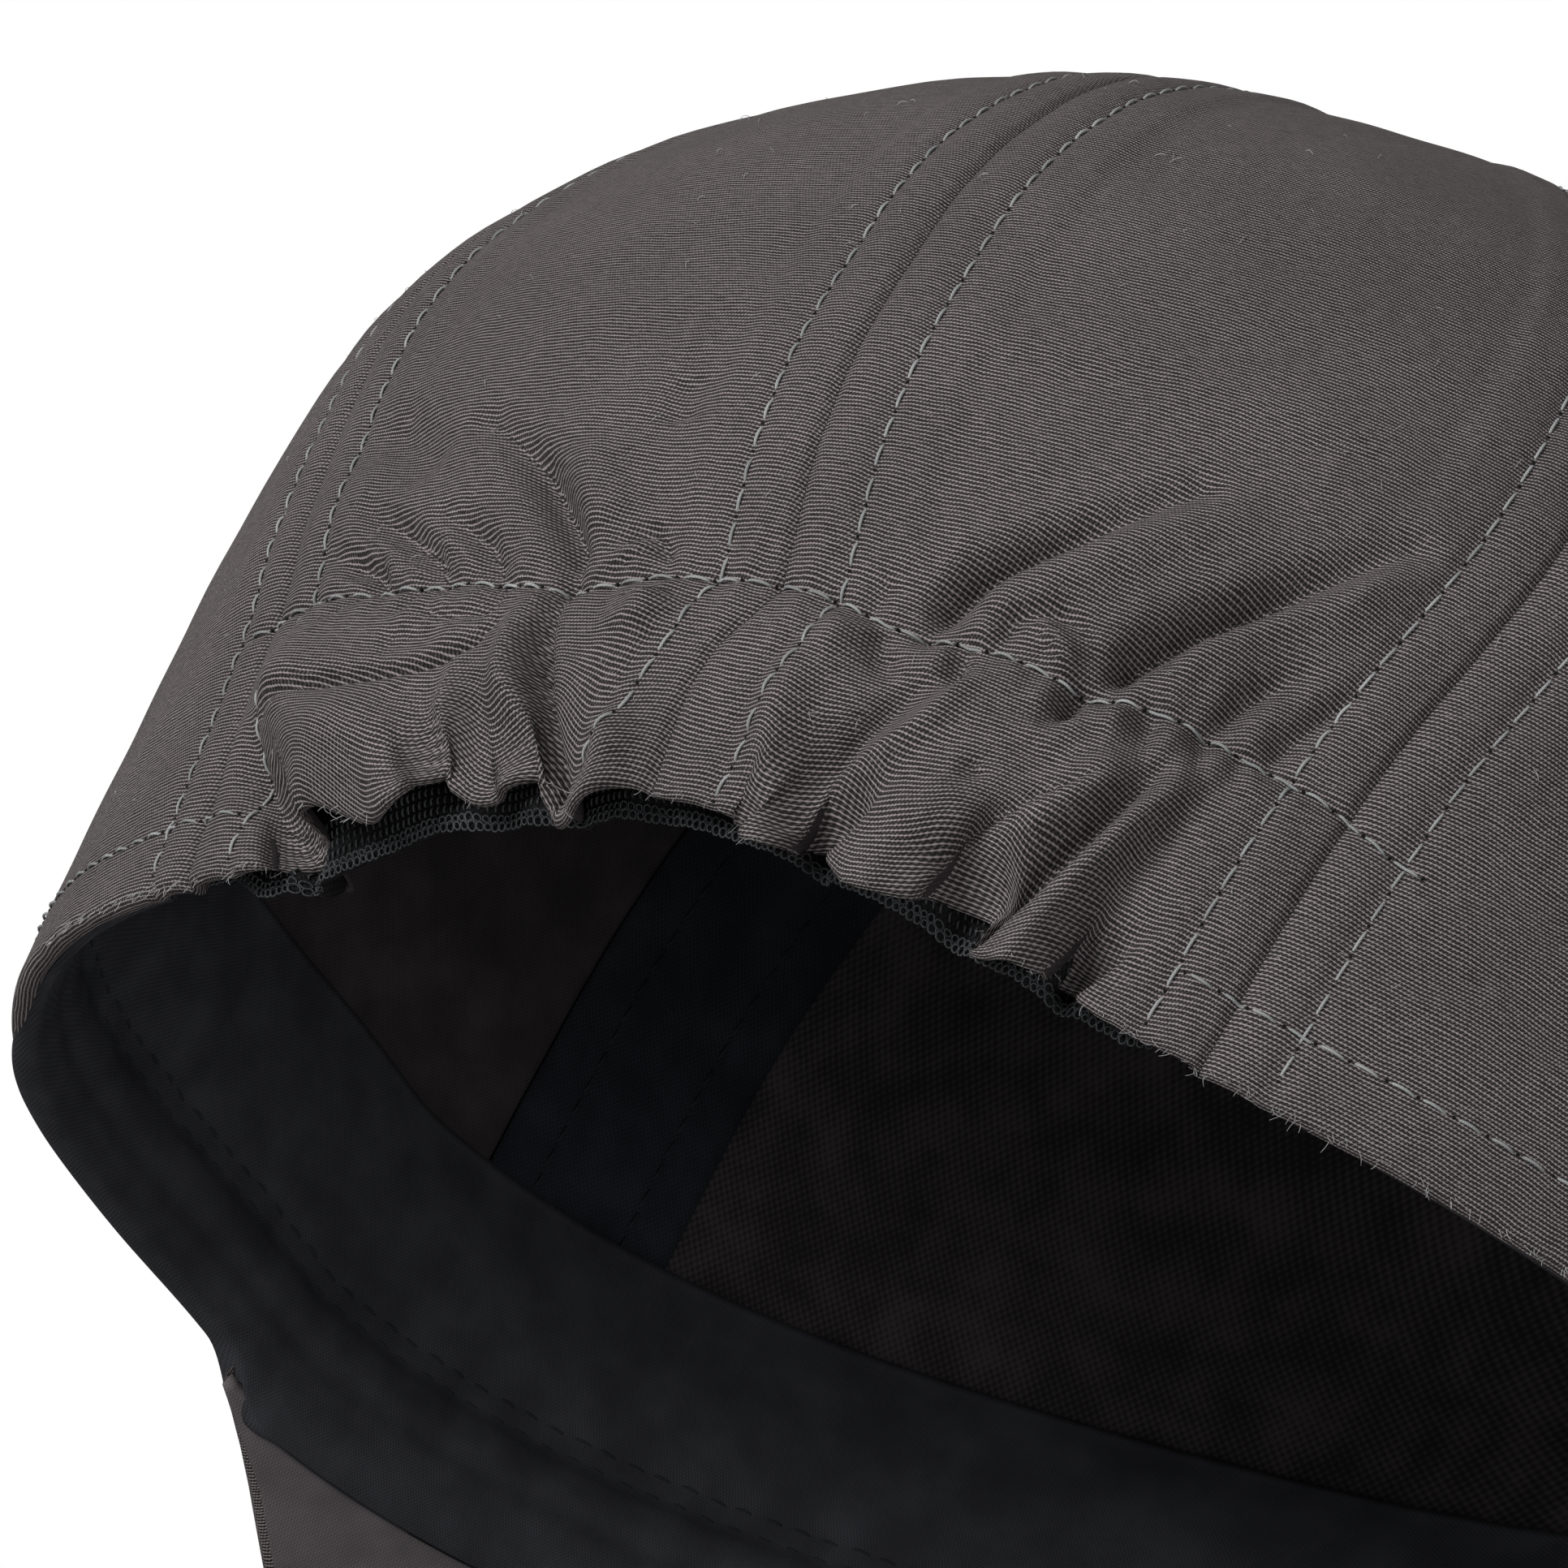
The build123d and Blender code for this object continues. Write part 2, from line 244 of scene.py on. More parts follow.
# Each fold follows a few points (azimuth, height), with its height (a valley is negative), its half width
# and how sharp it is, from 0, round, to 1, a crease. The heights of the folds inside the channel and above it
# are given in proportion, and these two numbers make them millimetres.
CHANNEL_DEPTH = 1.6
UPPER_DEPTH = 1.75
CHANNEL_FOLDS_RIGHT = [
    ([(-7.2, 23), (-6.8, 15), (-8, 8), (-8.6, 3)], 1.8, 2.2, 0.0),
    ([(-16, 23), (-13.4, 18), (-10.8, 12), (-9.6, 7)], -1.5, 1.6, 0.4),
    ([(-19.3, 24), (-16.6, 17), (-13.4, 12), (-11.4, 9)], 1.3, 1.5, 0.2),
    ([(-21, 20), (-19, 11), (-17.3, 6), (-17, 2)], 2.0, 3.6, 0.0),
    ([(-21.2, 15), (-20.6, 13.6)], -0.8, 0.9, 0.0),
    ([(-29.5, 18.5), (-26, 15), (-22.5, 10.5), (-20.4, 7)], -1.0, 0.8, 0.8),
    ([(-30, 20.5), (-26.6, 13.5), (-24, 9)], 1.6, 2.0, 0.0),
    ([(-32, 23), (-31, 18), (-29, 12), (-26.6, 6), (-25.6, 3)], -2.1, 1.3, 0.4),
    ([(-33.2, 22), (-31.6, 15), (-29.4, 8), (-28, 0)], 2.2, 1.9, 0.0),
    ([(-35.2, 21), (-33, 14), (-31.6, 8), (-31.2, 3)], -1.2, 1.4, 0.2),
    ([(-25, 22), (-23, 18)], 0.7, 2.4, 0.0),
    ([(-24.8, 24), (-23.6, 21), (-21, 20)], -0.9, 1.2, 0.2),
    ([(-11.6, 23), (-12.4, 20)], -0.7, 1.3, 0.2),
]
CHANNEL_FOLDS_LEFT = [
    ([(6, 24), (6.2, 19)], 1.6, 2.6, 0.0),
    ([(5.4, 14), (5, 9), (5.2, 3)], 1.9, 2.2, 0.0),
    ([(14.6, 25), (14, 20), (12, 14), (9.8, 8.5), (8.8, 6)], -2.6, 1.0, 0.7),
    ([(15.8, 23), (14.6, 16), (12.6, 10), (12.4, 4)], 1.7, 1.9, 0.0),
    ([(19.4, 16), (18.6, 10), (17.6, 5)], 1.2, 1.2, 0.3),
    ([(17.2, 14), (16.4, 8)], -0.8, 1.2, 0.2),
    ([(36, 12.2), (31, 13.6), (25, 15.6), (20, 17.6), (18.2, 20.5)], -1.9, 1.0, 0.8),
    ([(28, 18), (22, 19.4)], -0.9, 1.8, 0.0),
    ([(26, 22), (22, 21), (18, 22.6)], -0.6, 0.8, 0.6),
    ([(31, 13), (27, 9.5), (22.5, 7), (20, 4)], 2.9, 4.0, 0.0),
]
UPPER_FOLDS_RIGHT = [
    ([(-13.2, 25), (-14.2, 29), (-16.6, 33), (-20, 37), (-26, 44)], -2.2, 1.5, 0.4),
    ([(-17.6, 27), (-19, 31), (-23, 36), (-28, 43)], 1.0, 2.4, 0.0),
    ([(-25.2, 25), (-27, 29), (-30, 33.5), (-34, 39), (-39, 46)], -2.6, 1.6, 0.4),
    ([(-29, 28), (-32, 33), (-37, 40), (-41, 47)], 1.0, 2.2, 0.0),
    ([(-32.6, 24.5), (-34.4, 29), (-36.4, 32)], -1.2, 1.1, 0.4),
    ([(-36.8, 24), (-38.4, 29), (-40, 33)], -0.9, 1.1, 0.4),
    ([(-21.6, 26.6), (-22.6, 28)], 0.8, 2.6, 0.0),
    ([(-18.4, 26), (-19.2, 28.4), (-22, 29.6), (-24.4, 27.6)], -0.8, 0.8, 0.5),
    ([(-9.2, 26), (-9.8, 29.5)], -0.6, 1.0, 0.4),
]
UPPER_FOLDS_LEFT = [
    ([(14.4, 25), (15.6, 29), (18.6, 33), (22, 37), (27, 41)], -2.0, 1.6, 0.4),
    ([(12, 29), (14.4, 34), (18, 39)], 1.0, 2.4, 0.0),
    ([(20.6, 25), (23, 28.6), (28, 32)], -1.1, 1.2, 0.3),
    ([(25.4, 25), (28, 28), (32, 31), (36, 33.4)], -1.3, 1.3, 0.3),
    ([(31, 25), (34, 27.4), (38, 29.4)], -1.2, 1.2, 0.3),
    ([(9.2, 27), (9.8, 28.4)], 0.7, 2.2, 0.0),
    ([(6.6, 27), (8.4, 29.6), (11.4, 28.4)], -0.7, 0.8, 0.5),
    ([(30, 36), (36, 41), (42, 44)], -1.0, 3.0, 0.0),
    ([(10.6, 40), (11.4, 46)], -0.7, 2.0, 0.0),
]
CHANNEL_GATHERS = [
    ([(-10.4, 25), (-11, 21.4)], -1.3, 0.9, 0.3),
    ([(-16.4, 25), (-16.9, 20.6)], -1.6, 0.9, 0.4),
    ([(-24.4, 24.6), (-24, 20.6)], -1.4, 1.0, 0.3),
    ([(-29.4, 24.6), (-29.9, 20)], -1.6, 0.9, 0.4),
    ([(-32.8, 24.4), (-33.4, 20.4)], -1.4, 0.8, 0.4),
    ([(-35.2, 24), (-35.6, 21)], -1.0, 0.8, 0.3),
    ([(-8.2, 24.6), (-8.6, 20.6)], 1.1, 1.3, 0.0),
    ([(-15.4, 24.8), (-14.8, 20.4)], 1.5, 1.2, 0.1),
    ([(-27.4, 24.2), (-27.2, 20.6)], 1.2, 1.2, 0.0),
    ([(-31.4, 24.4), (-31.2, 19.6)], 1.4, 1.1, 0.1),
    ([(-36.8, 23.6), (-36.8, 20)], 0.9, 1.2, 0.0),
    ([(19.4, 24.6), (20, 21)], -0.8, 1.0, 0.3),
    ([(27.4, 24.6), (28.6, 21)], -1.0, 1.1, 0.3),
    ([(33.4, 24.4), (34.6, 21)], -0.9, 1.1, 0.3),
]
BULGE_LEFT = [
    ([(35, 22), (34.4, 15), (32, 10), (29.6, 6.5)], 2.7, 3.4, 0.0),
    ([(40.6, 15), (38, 8.5), (35, 4), (32.6, 1)], -2.4, 1.8, 0.2),
]
FOLDS = [
    (points, tall * depth, wide, sharp)
    for depth, folds in ((CHANNEL_DEPTH, CHANNEL_FOLDS_RIGHT + CHANNEL_FOLDS_LEFT),
                         (UPPER_DEPTH, UPPER_FOLDS_RIGHT + UPPER_FOLDS_LEFT),
                         (1.0, CHANNEL_GATHERS + BULGE_LEFT))
    for points, tall, wide, sharp in folds
]


def rounded(points, parts=5):
    """More points on a smooth line through a few."""
    points = np.array(points, float)
    t = np.arange(len(points))
    fine = np.linspace(0, len(points) - 1, (len(points) - 1) * parts + 1)
    return np.stack([smooth_through(np.stack([t, points[:, k]], 1))(fine) for k in (0, 1)], 1)


def fold_relief(x, y):
    """Sum of all folds at points given in millimetres along the back."""
    total = np.zeros_like(x)
    for points, tall, wide, sharp in FOLDS:
        line = rounded(points) * (REAR_MM, 1)
        reach = 4 * wide
        near = (
            (x > line[:, 0].min() - reach) & (x < line[:, 0].max() + reach)
            & (y > line[:, 1].min() - reach) & (y < line[:, 1].max() + reach)
        )
        if not near.any():
            continue
        px, py = x[near], y[near]
        best = np.full(px.shape, 1e9)
        along = np.zeros(px.shape)
        pieces = len(line) - 1
        for i in range(pieces):
            a, d = line[i], line[i + 1] - line[i]
            t = np.clip(((px - a[0]) * d[0] + (py - a[1]) * d[1]) / (d @ d), 0, 1)
            away = np.hypot(px - a[0] - t * d[0], py - a[1] - t * d[1])
            closer = away < best
            best = np.where(closer, away, best)
            along = np.where(closer, (i + t) / pieces, along)
        share = best / wide
        profile = (1 - sharp) * np.exp(-share**2) + sharp * np.exp(-1.6 * share)
        fade = 0.35 + 0.65 * step(0, 0.2, along) * (1 - step(0.6, 1.0, along))
        if line[0, 1] > 12 and line[-1, 1] < 9:
            fade = 0.35 + 0.65 * step(0, 0.4, along)
        total[near] += tall * profile * fade
    return total


def unevenness(x, y):
    """Gentle dents of soft cloth, without a pattern."""
    return (
        0.28 * np.sin(x / 17 + 1.3 * np.sin(y / 23)) * np.sin(y / 19 + 0.7)
        + 0.16 * np.sin(x / 7.3 - y / 11 + 2.1) * np.sin(y / 8.7 + x / 21)
        + 0.07 * np.sin(x / 3.1 + y / 4.3) * np.sin(y / 2.9 - x / 6.1 + 0.4)
    )


PUFF_BELOW, PUFF_ABOVE = 1.5, 1.0      # swelling of the gathered cloth below and above the channel's line
LINE_DENT = 0.5                        # how far the channel's stitches draw the cloth in
SEAM_GROOVE, SEAM_SWELLING = 0.55, 0.3
STITCH_DENT = 0.32                     # beside each topstitching
TAPE_SWELLING = 0.45                   # where a tape lies under the cloth


def relief(azimuth, height):
    """How far the cloth stands out from the smooth crown."""
    azimuth, height = together(azimuth, height)
    turned = wrapped(azimuth)
    x, y = turned * REAR_MM, height
    out = unevenness(x, y)
    back = 1 - step(36, 44, np.abs(turned))
    line = channel_line(turned)
    # gathered cloth puffs out between the channel's stitch line and its edge, and again above the line
    puff_left = 1 + 0.6 * step(5, 25, turned)
    inside = np.clip((line - y) / 18, 0, 1)
    out = out + back * puff_left * PUFF_BELOW * np.sin(np.pi * inside**0.95) * (y < line)
    above = np.clip((y - line) / 34, 0, 1)
    out = out + back * PUFF_ABOVE * np.sin(np.pi * above**0.85) * (y > line)
    out = out + fold_relief(x, y) * (1 - step(38, 44, np.abs(turned)))
    # the stitch line draws the cloth in, with small puckers beside it
    off_line = np.abs(y - line)
    on_line = 1 - step(44, 49, np.abs(turned))
    out = out - on_line * LINE_DENT * np.exp(-(off_line / 0.8) ** 2)
    pucker = np.sin(x * 2 * np.pi / 3.3 + 2 * np.sin(x / 5)) + 0.6 * np.sin(x * 2 * np.pi / 5.1 + 1)
    strong = 0.3 + 0.2 * step(6, 14, -turned)
    out = out + back * strong * pucker * np.exp(-off_line / 2.8) * (1 - np.exp(-off_line / 0.7))
    # seams: a groove, a swelling on each side, and the edge of the tape under the cloth
    width = degree_width(turned, height)
    for seam in (centre_seam(y), rear_seam(y), -rear_seam(y), front_seam(y), -front_seam(y)):
        gap = np.abs(turned - seam) * width
        out = out - SEAM_GROOVE * np.exp(-(gap / 0.55) ** 2)
        out = out + SEAM_SWELLING * np.exp(-((gap - 3) / 1.8) ** 2)
        out = out - STITCH_DENT * np.exp(-((gap - SEAM_TO_STITCH) / 0.7) ** 2)
        out = out + TAPE_SWELLING * (1 - step(9.5, 12, gap)) * step(26, 34, y)
    return out


def tucks(azimuth, height):
    """How far the gathered edge is tucked in at a point, and how far its walls lean over, in degrees."""
    turned = wrapped(azimuth)
    above = height - gathered_edge(turned)
    near_edge = 1 - step(0.5, TUCK_TALL, above)
    inwards, sideways = np.zeros_like(height), np.zeros_like(height)
    for centre, wide, deep in TUCKS:
        leaning = centre + math.copysign(TUCK_SLANT, centre) * np.clip(above, 0, TUCK_TALL)
        share = (turned - leaning) * REAR_MM / wide
        inwards = inwards + deep * np.exp(-share**2) * near_edge
        window = np.exp(-(share / 1.7) ** 4)
        sideways = sideways + TUCK_SWAY * wide / REAR_MM * np.sin(np.pi * share) * window * near_edge
    return inwards, sideways


def skin(azimuth, height, out=0.0):
    """Point of the finished cloth, or of something standing out from it."""
    azimuth, height = together(azimuth, height)
    inwards, sideways = tucks(azimuth, height)
    raised = relief(azimuth, height) - inwards + out
    return off_crown(azimuth + sideways, height, raised)


def skin_normal(azimuth, height):
    """Outward direction of the finished cloth."""
    return outward_of(skin, azimuth, height, 0.2, 0.25)


# ---------------------------------------------------------------- visor: the smooth shape

VISOR_CORNER = 110.0              # azimuth where the visor begins
VISOR_RISE = 11.7                 # height of its root at the centre front
VISOR_SLOPE = 0.25
VISOR_HALF = limit("visor_upper_cover", 1, "X")
VISOR_TIP = limit("visor_upper_cover", 0, "Y")
VISOR_THICK = 3.8
corner_x, corner_y, _ = smooth_crown(VISOR_CORNER, 0.0)
root_y = smooth_crown(180.0, 0.0)[1]
corner_sag = VISOR_RISE + (corner_y - root_y) * VISOR_SLOPE
VISOR_RADIUS = (corner_x**2 + corner_sag**2) / (2 * corner_sag)


def visor_top(x, y, drop=0.0):
    """Height of the visor's upper face, or of a face at a drop below it."""
    arch = VISOR_RADIUS - np.sqrt(np.maximum((VISOR_RADIUS - drop) ** 2 - np.square(x), 0))
    return VISOR_RISE + (y - root_y) * VISOR_SLOPE - arch


def lower_edge(azimuth):
    """Height of the crown's lower edge all round."""
    turned = wrapped(np.asarray(azimuth, float))
    root = smooth_crown(turned, 0.0)
    front = visor_top(root[..., 0], root[..., 1])
    corner = rear_edge(turned) * (1 - step(VISOR_CORNER, VISOR_CORNER + 10, np.abs(turned)))
    return np.where(np.abs(turned) > VISOR_CORNER, np.maximum(front, corner), rear_edge(turned))


# ---------------------------------------------------------------- meshes

def add_object(name, data):
    made = bpy.data.objects.new(name, data)
    bpy.context.scene.collection.objects.link(made)
    return made


def lengths_along(path):
    """How far along a line of points each of them is."""
    return np.concatenate([[0], np.cumsum(np.linalg.norm(np.diff(path, axis=0), axis=1))])


def full_circle(count):
    return np.arange(count) / count * 2 * np.pi


def new_piece(name, points, faces, material, uv=None):
    """Smooth-shaded mesh object from points in millimetres."""
    points = np.asarray(points, float).reshape(-1, 3)
    mesh = bpy.data.meshes.new(name)
    mesh.from_pydata((points * MM).tolist(), [], [list(face) for face in faces])
    if uv is not None:
        layer = mesh.uv_layers.new(name="weave")
        index = np.empty(len(mesh.loops), np.int32)
        mesh.loops.foreach_get("vertex_index", index)
        layer.data.foreach_set("uv", np.asarray(uv, np.float32).reshape(-1, 2)[index].ravel())
    mesh.polygons.foreach_set("use_smooth", np.ones(len(mesh.polygons), bool))
    work = bmesh.new()
    work.from_mesh(mesh)
    bmesh.ops.recalc_face_normals(work, faces=work.faces)
    work.to_mesh(mesh)
    work.free()
    mesh.materials.append(material)
    return add_object(name, mesh)


def grid(rows, columns, close_rows=False, close_columns=False, start=0):
    """Quads of a grid of points, numbered row by row."""
    i = np.arange(rows if close_rows else rows - 1)[:, None]
    j = np.arange(columns if close_columns else columns - 1)[None, :]
    a, b = i * columns, (i + 1) % rows * columns
    k = (j + 1) % columns
    quads = np.stack([a + j, a + k, b + k, b + j], -1).reshape(-1, 4)
    return quads + start


def shell(name, outline, azimuth, material, inner=None, on_skin=skin):
    """Closed piece of cloth. outline is a list of rows (height, out) going down the outside and up the
    inside, each an array over the columns; a third array says how far up the cloth the row is, where that
    isn't its height. azimuth gives the column's azimuth at a height."""
    rows, flat = [], []
    for height, out, *along in outline:
        turned = azimuth(height)
        rows.append(on_skin(turned, height, out))
        middle = turned[len(turned) // 2]
        up_cloth = (along[0] if along else height) + 0 * turned
        flat.append(np.stack([(turned - middle) * degree_width(turned, height), up_cloth], -1))
    count, columns = len(rows), len(rows[0])
    faces = grid(count, columns, close_rows=True)
    ends = []
    for i in range((count - 1) // 2):
        side = [k * columns for k in dict.fromkeys((i, i + 1, count - 2 - i, count - 1 - i))]
        ends.append(side)
        ends.append([k + columns - 1 for k in side[::-1]])
    piece = new_piece(name, np.stack(rows), list(faces) + ends, material, np.stack(flat))
    if inner is not None:
        piece.data.materials.append(inner)
        face_rows = np.concatenate([np.arange(len(faces)) // (columns - 1), np.full(len(ends), 0)])
        inside = (face_rows > count // 2 + 1).astype(np.int32)[: len(piece.data.polygons)]
        piece.data.polygons.foreach_set("material_index", inside)
    return piece


def tubes(name, centres, normals, radii, material, sides=6, closed=False):
    """Many short round threads at once: centres (threads, points, 3) and a radius for each point."""
    centres = np.asarray(centres, float)
    count, points, _ = centres.shape
    if closed:
        along = np.roll(centres, -1, 1) - np.roll(centres, 1, 1)
    else:
        along = np.gradient(centres, axis=1)
    along = unit(along)
    normals = unit(normals - (normals * along).sum(-1, keepdims=True) * along)
    across = np.cross(along, normals)
    turn = full_circle(sides)
    radii = np.broadcast_to(radii, (count, points))[..., None, None]
    ring = (
        centres[:, :, None]
        + radii * (np.cos(turn)[:, None] * normals[:, :, None] + np.sin(turn)[:, None] * across[:, :, None])
    )
    one = grid(points, sides, close_rows=closed, close_columns=True)
    faces = (one[None] + (np.arange(count) * points * sides)[:, None, None]).reshape(-1, 4).tolist()
    if not closed:
        cap = list(range(sides))
        for k in range(count):
            first = k * points * sides
            faces.append([first + i for i in cap[::-1]])
            faces.append([first + (points - 1) * sides + i for i in cap])
    return new_piece(name, ring, faces, material)


STITCH_PITCH = 3.0
STITCH_LENGTH = 2.5
STITCH_RADIUS = 0.13
STITCH_LIFT = np.array([-0.3, -0.02, 0.13, 0.17, 0.13, -0.02, -0.3])     # of the thread above the cloth
HOLE_RADIUS, HOLE_DEPTH, HOLE_SIDES = 0.15, 0.4, 8


def stitches(name, azimuth, height, material, hole_material, out=0.0, surface=skin, face=1.0):
    """Row of stitches along a line on the cloth, and the needle holes between them: small pits coloured with
    hole_material, which for the outer rows is a near-black painted shade. face is -1 for a surface that is
    seen from the inside."""
    path = surface(azimuth, height, out)
    length = lengths_along(path)
    count = int((length[-1] - 1) / STITCH_PITCH)
    start = 0.5 + np.arange(count) * STITCH_PITCH + 0.14 * np.sin(np.arange(count) * 2.4)
    share = np.linspace(0, 1, 7)
    where = start[:, None] + share * STITCH_LENGTH
    a = np.interp(where, length, azimuth)
    h = np.interp(where, length, height)
    normals = skin_normal(a, h) * face
    centres = surface(a, h, out) + normals * STITCH_LIFT[None, :, None]
    # one end of each stitch sits a little to the side, as twisted thread does
    sideways = unit(np.cross(np.gradient(centres, axis=1), normals))
    centres = centres + sideways * (0.16 * (share - 0.5))[None, :, None]
    thick = np.array([0.7, 1, 1.05, 1.08, 1.05, 1, 0.7]) * STITCH_RADIUS
    row = tubes(name, centres, normals, thick[None, :], material)
    middle = start - (STITCH_PITCH - STITCH_LENGTH) / 2
    a = np.interp(middle, length, azimuth)
    h = np.interp(middle, length, height)
    up = skin_normal(a, h) * face
    at = surface(a, h, out) + up * 0.03
    along = unit(surface(a, h + 0.3, out) - surface(a, h - 0.3, out))
    across = np.cross(up, along)
    turn = full_circle(HOLE_SIDES)
    round_it = np.cos(turn)[:, None] * along[:, None] + np.sin(turn)[:, None] * across[:, None]
    rim = at[:, None] + HOLE_RADIUS * round_it
    low = rim - up[:, None] * HOLE_DEPTH
    points = np.concatenate([rim, low], 1)
    faces = []
    for first in range(0, 2 * HOLE_SIDES * len(at), 2 * HOLE_SIDES):
        ring = list(range(first, first + HOLE_SIDES))
        faces += [ring, [i + HOLE_SIDES for i in ring[::-1]]]
        faces += grid(2, HOLE_SIDES, close_columns=True, start=first).tolist()
    holes = new_piece(name + "_holes", points, faces, hole_material)
    return [row, holes]


# ---------------------------------------------------------------- materials

class Nodes:
    """Short way to write a material's nodes."""

    def __init__(self, name):
        self.material = bpy.data.materials.new(name)
        self.material.use_nodes = True
        self.tree = self.material.node_tree
        self.shader = self.tree.nodes["Principled BSDF"]

    def node(self, kind, **settings):
        made = self.tree.nodes.new(kind)
        for key, value in settings.items():
            setattr(made, key, value)
        return made

    def feed(self, socket, value):
        if isinstance(value, bpy.types.NodeSocket):
            self.tree.links.new(value, socket)
        else:
            socket.default_value = value

    def math(self, operation, a, b=0.0):
        made = self.node("ShaderNodeMath", operation=operation)
        for socket, value in zip(made.inputs, (a, b)):
            self.feed(socket, value)
        return made.outputs[0]

    def plus(self, a, b):
        return self.math("ADD", a, b)

    def times(self, a, b):
        return self.math("MULTIPLY", a, b)

    def sine(self, a):
        return self.math("SINE", a)

    def place(self):
        """Position in the scene, in metres."""
        return self.node("ShaderNodeNewGeometry").outputs["Position"]

    def parts(self, vector):
        """The three numbers of a vector."""
        made = self.node("ShaderNodeSeparateXYZ")
        self.feed(made.inputs[0], vector)
        return made.outputs

    def noise(self, vector, scale, detail):
        made = self.node("ShaderNodeTexNoise")
        self.feed(made.inputs["Vector"], vector)
        made.inputs["Scale"].default_value = scale
        made.inputs["Detail"].default_value = detail
        return made.outputs["Fac"]

    def scaled(self, vector, scale):
        made = self.node("ShaderNodeVectorMath", operation="MULTIPLY")
        self.feed(made.inputs[0], vector)
        made.inputs[1].default_value = (*scale, 1.0)
        return made.outputs[0]

    def ramp(self, value, low, high, to_low=0.0, to_high=1.0):
        made = self.node("ShaderNodeMapRange", interpolation_type="SMOOTHSTEP")
        for socket, number in zip(made.inputs, (value, low, high, to_low, to_high)):
            self.feed(socket, number)
        return made.outputs[0]

    def mix(self, share, a, b):
        made = self.node("ShaderNodeMix", data_type="RGBA")
        self.feed(made.inputs["Factor"], share)
        for socket, value in ((made.inputs[6], a), (made.inputs[7], b)):
            self.feed(socket, value if isinstance(value, bpy.types.NodeSocket) else (*value, 1.0))
        return made.outputs[2]

    def bump(self, height, strength, distance):
        made = self.node("ShaderNodeBump")
        self.feed(made.inputs["Height"], height)
        made.inputs["Strength"].default_value = strength
        made.inputs["Distance"].default_value = distance
        self.tree.links.new(made.outputs["Normal"], self.shader.inputs["Normal"])

    def finish(self, colour, roughness, specular, metallic=0.0):
        self.feed(self.shader.inputs["Base Color"], colour)
        self.feed(self.shader.inputs["Roughness"], roughness)
        self.shader.inputs["Specular IOR Level"].default_value = specular
        self.shader.inputs["Metallic"].default_value = metallic
        return self.material


RIB_PITCH = 0.37                  # of the cloth's ribs
BEAD_PITCH = 0.31                 # of the beads of thread along a rib


def ribbed_cloth(name, dark, light):
    """Dark cloth with fine light ribs across it, made of small beads of thread."""
    n = Nodes(name)
    uv = n.node("ShaderNodeUVMap", uv_map="weave").outputs[0]
    across, up, _ = n.parts(uv)
    drift = n.times(n.noise(uv, 0.11, 2.0), 1.4)
    drift = n.plus(drift, n.times(n.noise(n.scaled(uv, (1.6, 1.0)), 1.0, 1.0), 0.09))
    level = n.math("DIVIDE", n.plus(up, drift), RIB_PITCH)
    ribs = n.sine(n.times(level, 2 * math.pi))
    shift = n.times(n.math("FLOOR", n.plus(level, 0.25)), 2.4)
    beads = n.sine(n.plus(n.times(across, 2 * math.pi / BEAD_PITCH), shift))
    slub = n.noise(n.scaled(uv, (0.7, 3.2)), 1.0, 3.0)
    grain = n.noise(n.scaled(uv, (3.5, 3.5)), 1.0, 1.0)
    thread_height = n.plus(n.ramp(ribs, 0.0, 1.0), n.times(beads, 0.3))
    for uneven, share in ((slub, 0.8), (grain, 0.7)):
        thread_height = n.plus(thread_height, n.times(n.math("SUBTRACT", uneven, 0.5), share))
    tone = n.node("ShaderNodeVectorMath", operation="SCALE")
    n.feed(tone.inputs[0], n.mix(n.ramp(thread_height, -0.1, 1.25), dark, light))
    n.feed(tone.inputs["Scale"], n.ramp(n.noise(n.place(), 55.0, 3.0), 0.3, 0.7, 0.92, 1.08))
    n.bump(thread_height, 0.6, 0.00015)
    return n.finish(tone.outputs[0], 0.92, 0.06)


def plain_cloth(name, dark, light, grain, roughness=0.9, strength=0.4):
    """Plain matt cloth: fine crossed threads and slight unevenness. grain is the thread pitch in mm."""
    n = Nodes(name)
    place = n.place()
    x, y, z = n.parts(place)
    turn = 2 * math.pi / (grain * MM)
    threads = n.times(n.sine(n.times(n.plus(x, y), turn)), n.sine(n.times(z, turn)))
    share = n.plus(n.times(threads, 0.25), n.noise(place, 160.0, 4.0))
    n.bump(share, strength, 0.0001)
    return n.finish(n.mix(n.ramp(share, 0.2, 0.9), dark, light), roughness, 0.08)


CLOTH_DARK = (0.0175, 0.0153, 0.0156)
CLOTH_LIGHT = (0.266, 0.231, 0.233)
cloth = ribbed_cloth("ribbed_crown_cloth", CLOTH_DARK, CLOTH_LIGHT)
cloth_inside = plain_cloth("cloth_inside", (0.021, 0.0185, 0.0195), (0.042, 0.0365, 0.038), 0.5)
visor_under = plain_cloth("visor_underside", (0.069, 0.062, 0.064), (0.118, 0.106, 0.110), 0.5)
tape_cloth = plain_cloth("seam_tape", (0.0095, 0.0105, 0.0135), (0.019, 0.021, 0.0255), 0.7)
band_cloth = plain_cloth("sweatband", (0.0175, 0.018, 0.0205), (0.036, 0.037, 0.0415), 0.5)
felt = plain_cloth("felt", (0.010, 0.010, 0.010), (0.02, 0.02, 0.02), 0.9)
mesh_cloth = plain_cloth("stiffener", (0.014, 0.0125, 0.0135), (0.042, 0.037, 0.039), 1.1, strength=0.8)
knit = plain_cloth("elastic_knit", (0.004, 0.004, 0.0044), (0.013, 0.0135, 0.0145), 0.7, strength=0.8)
knit_loops = plain_cloth("elastic_loops", (0.012, 0.013, 0.014), (0.080, 0.084, 0.088), 0.3, 0.8, 0.5)
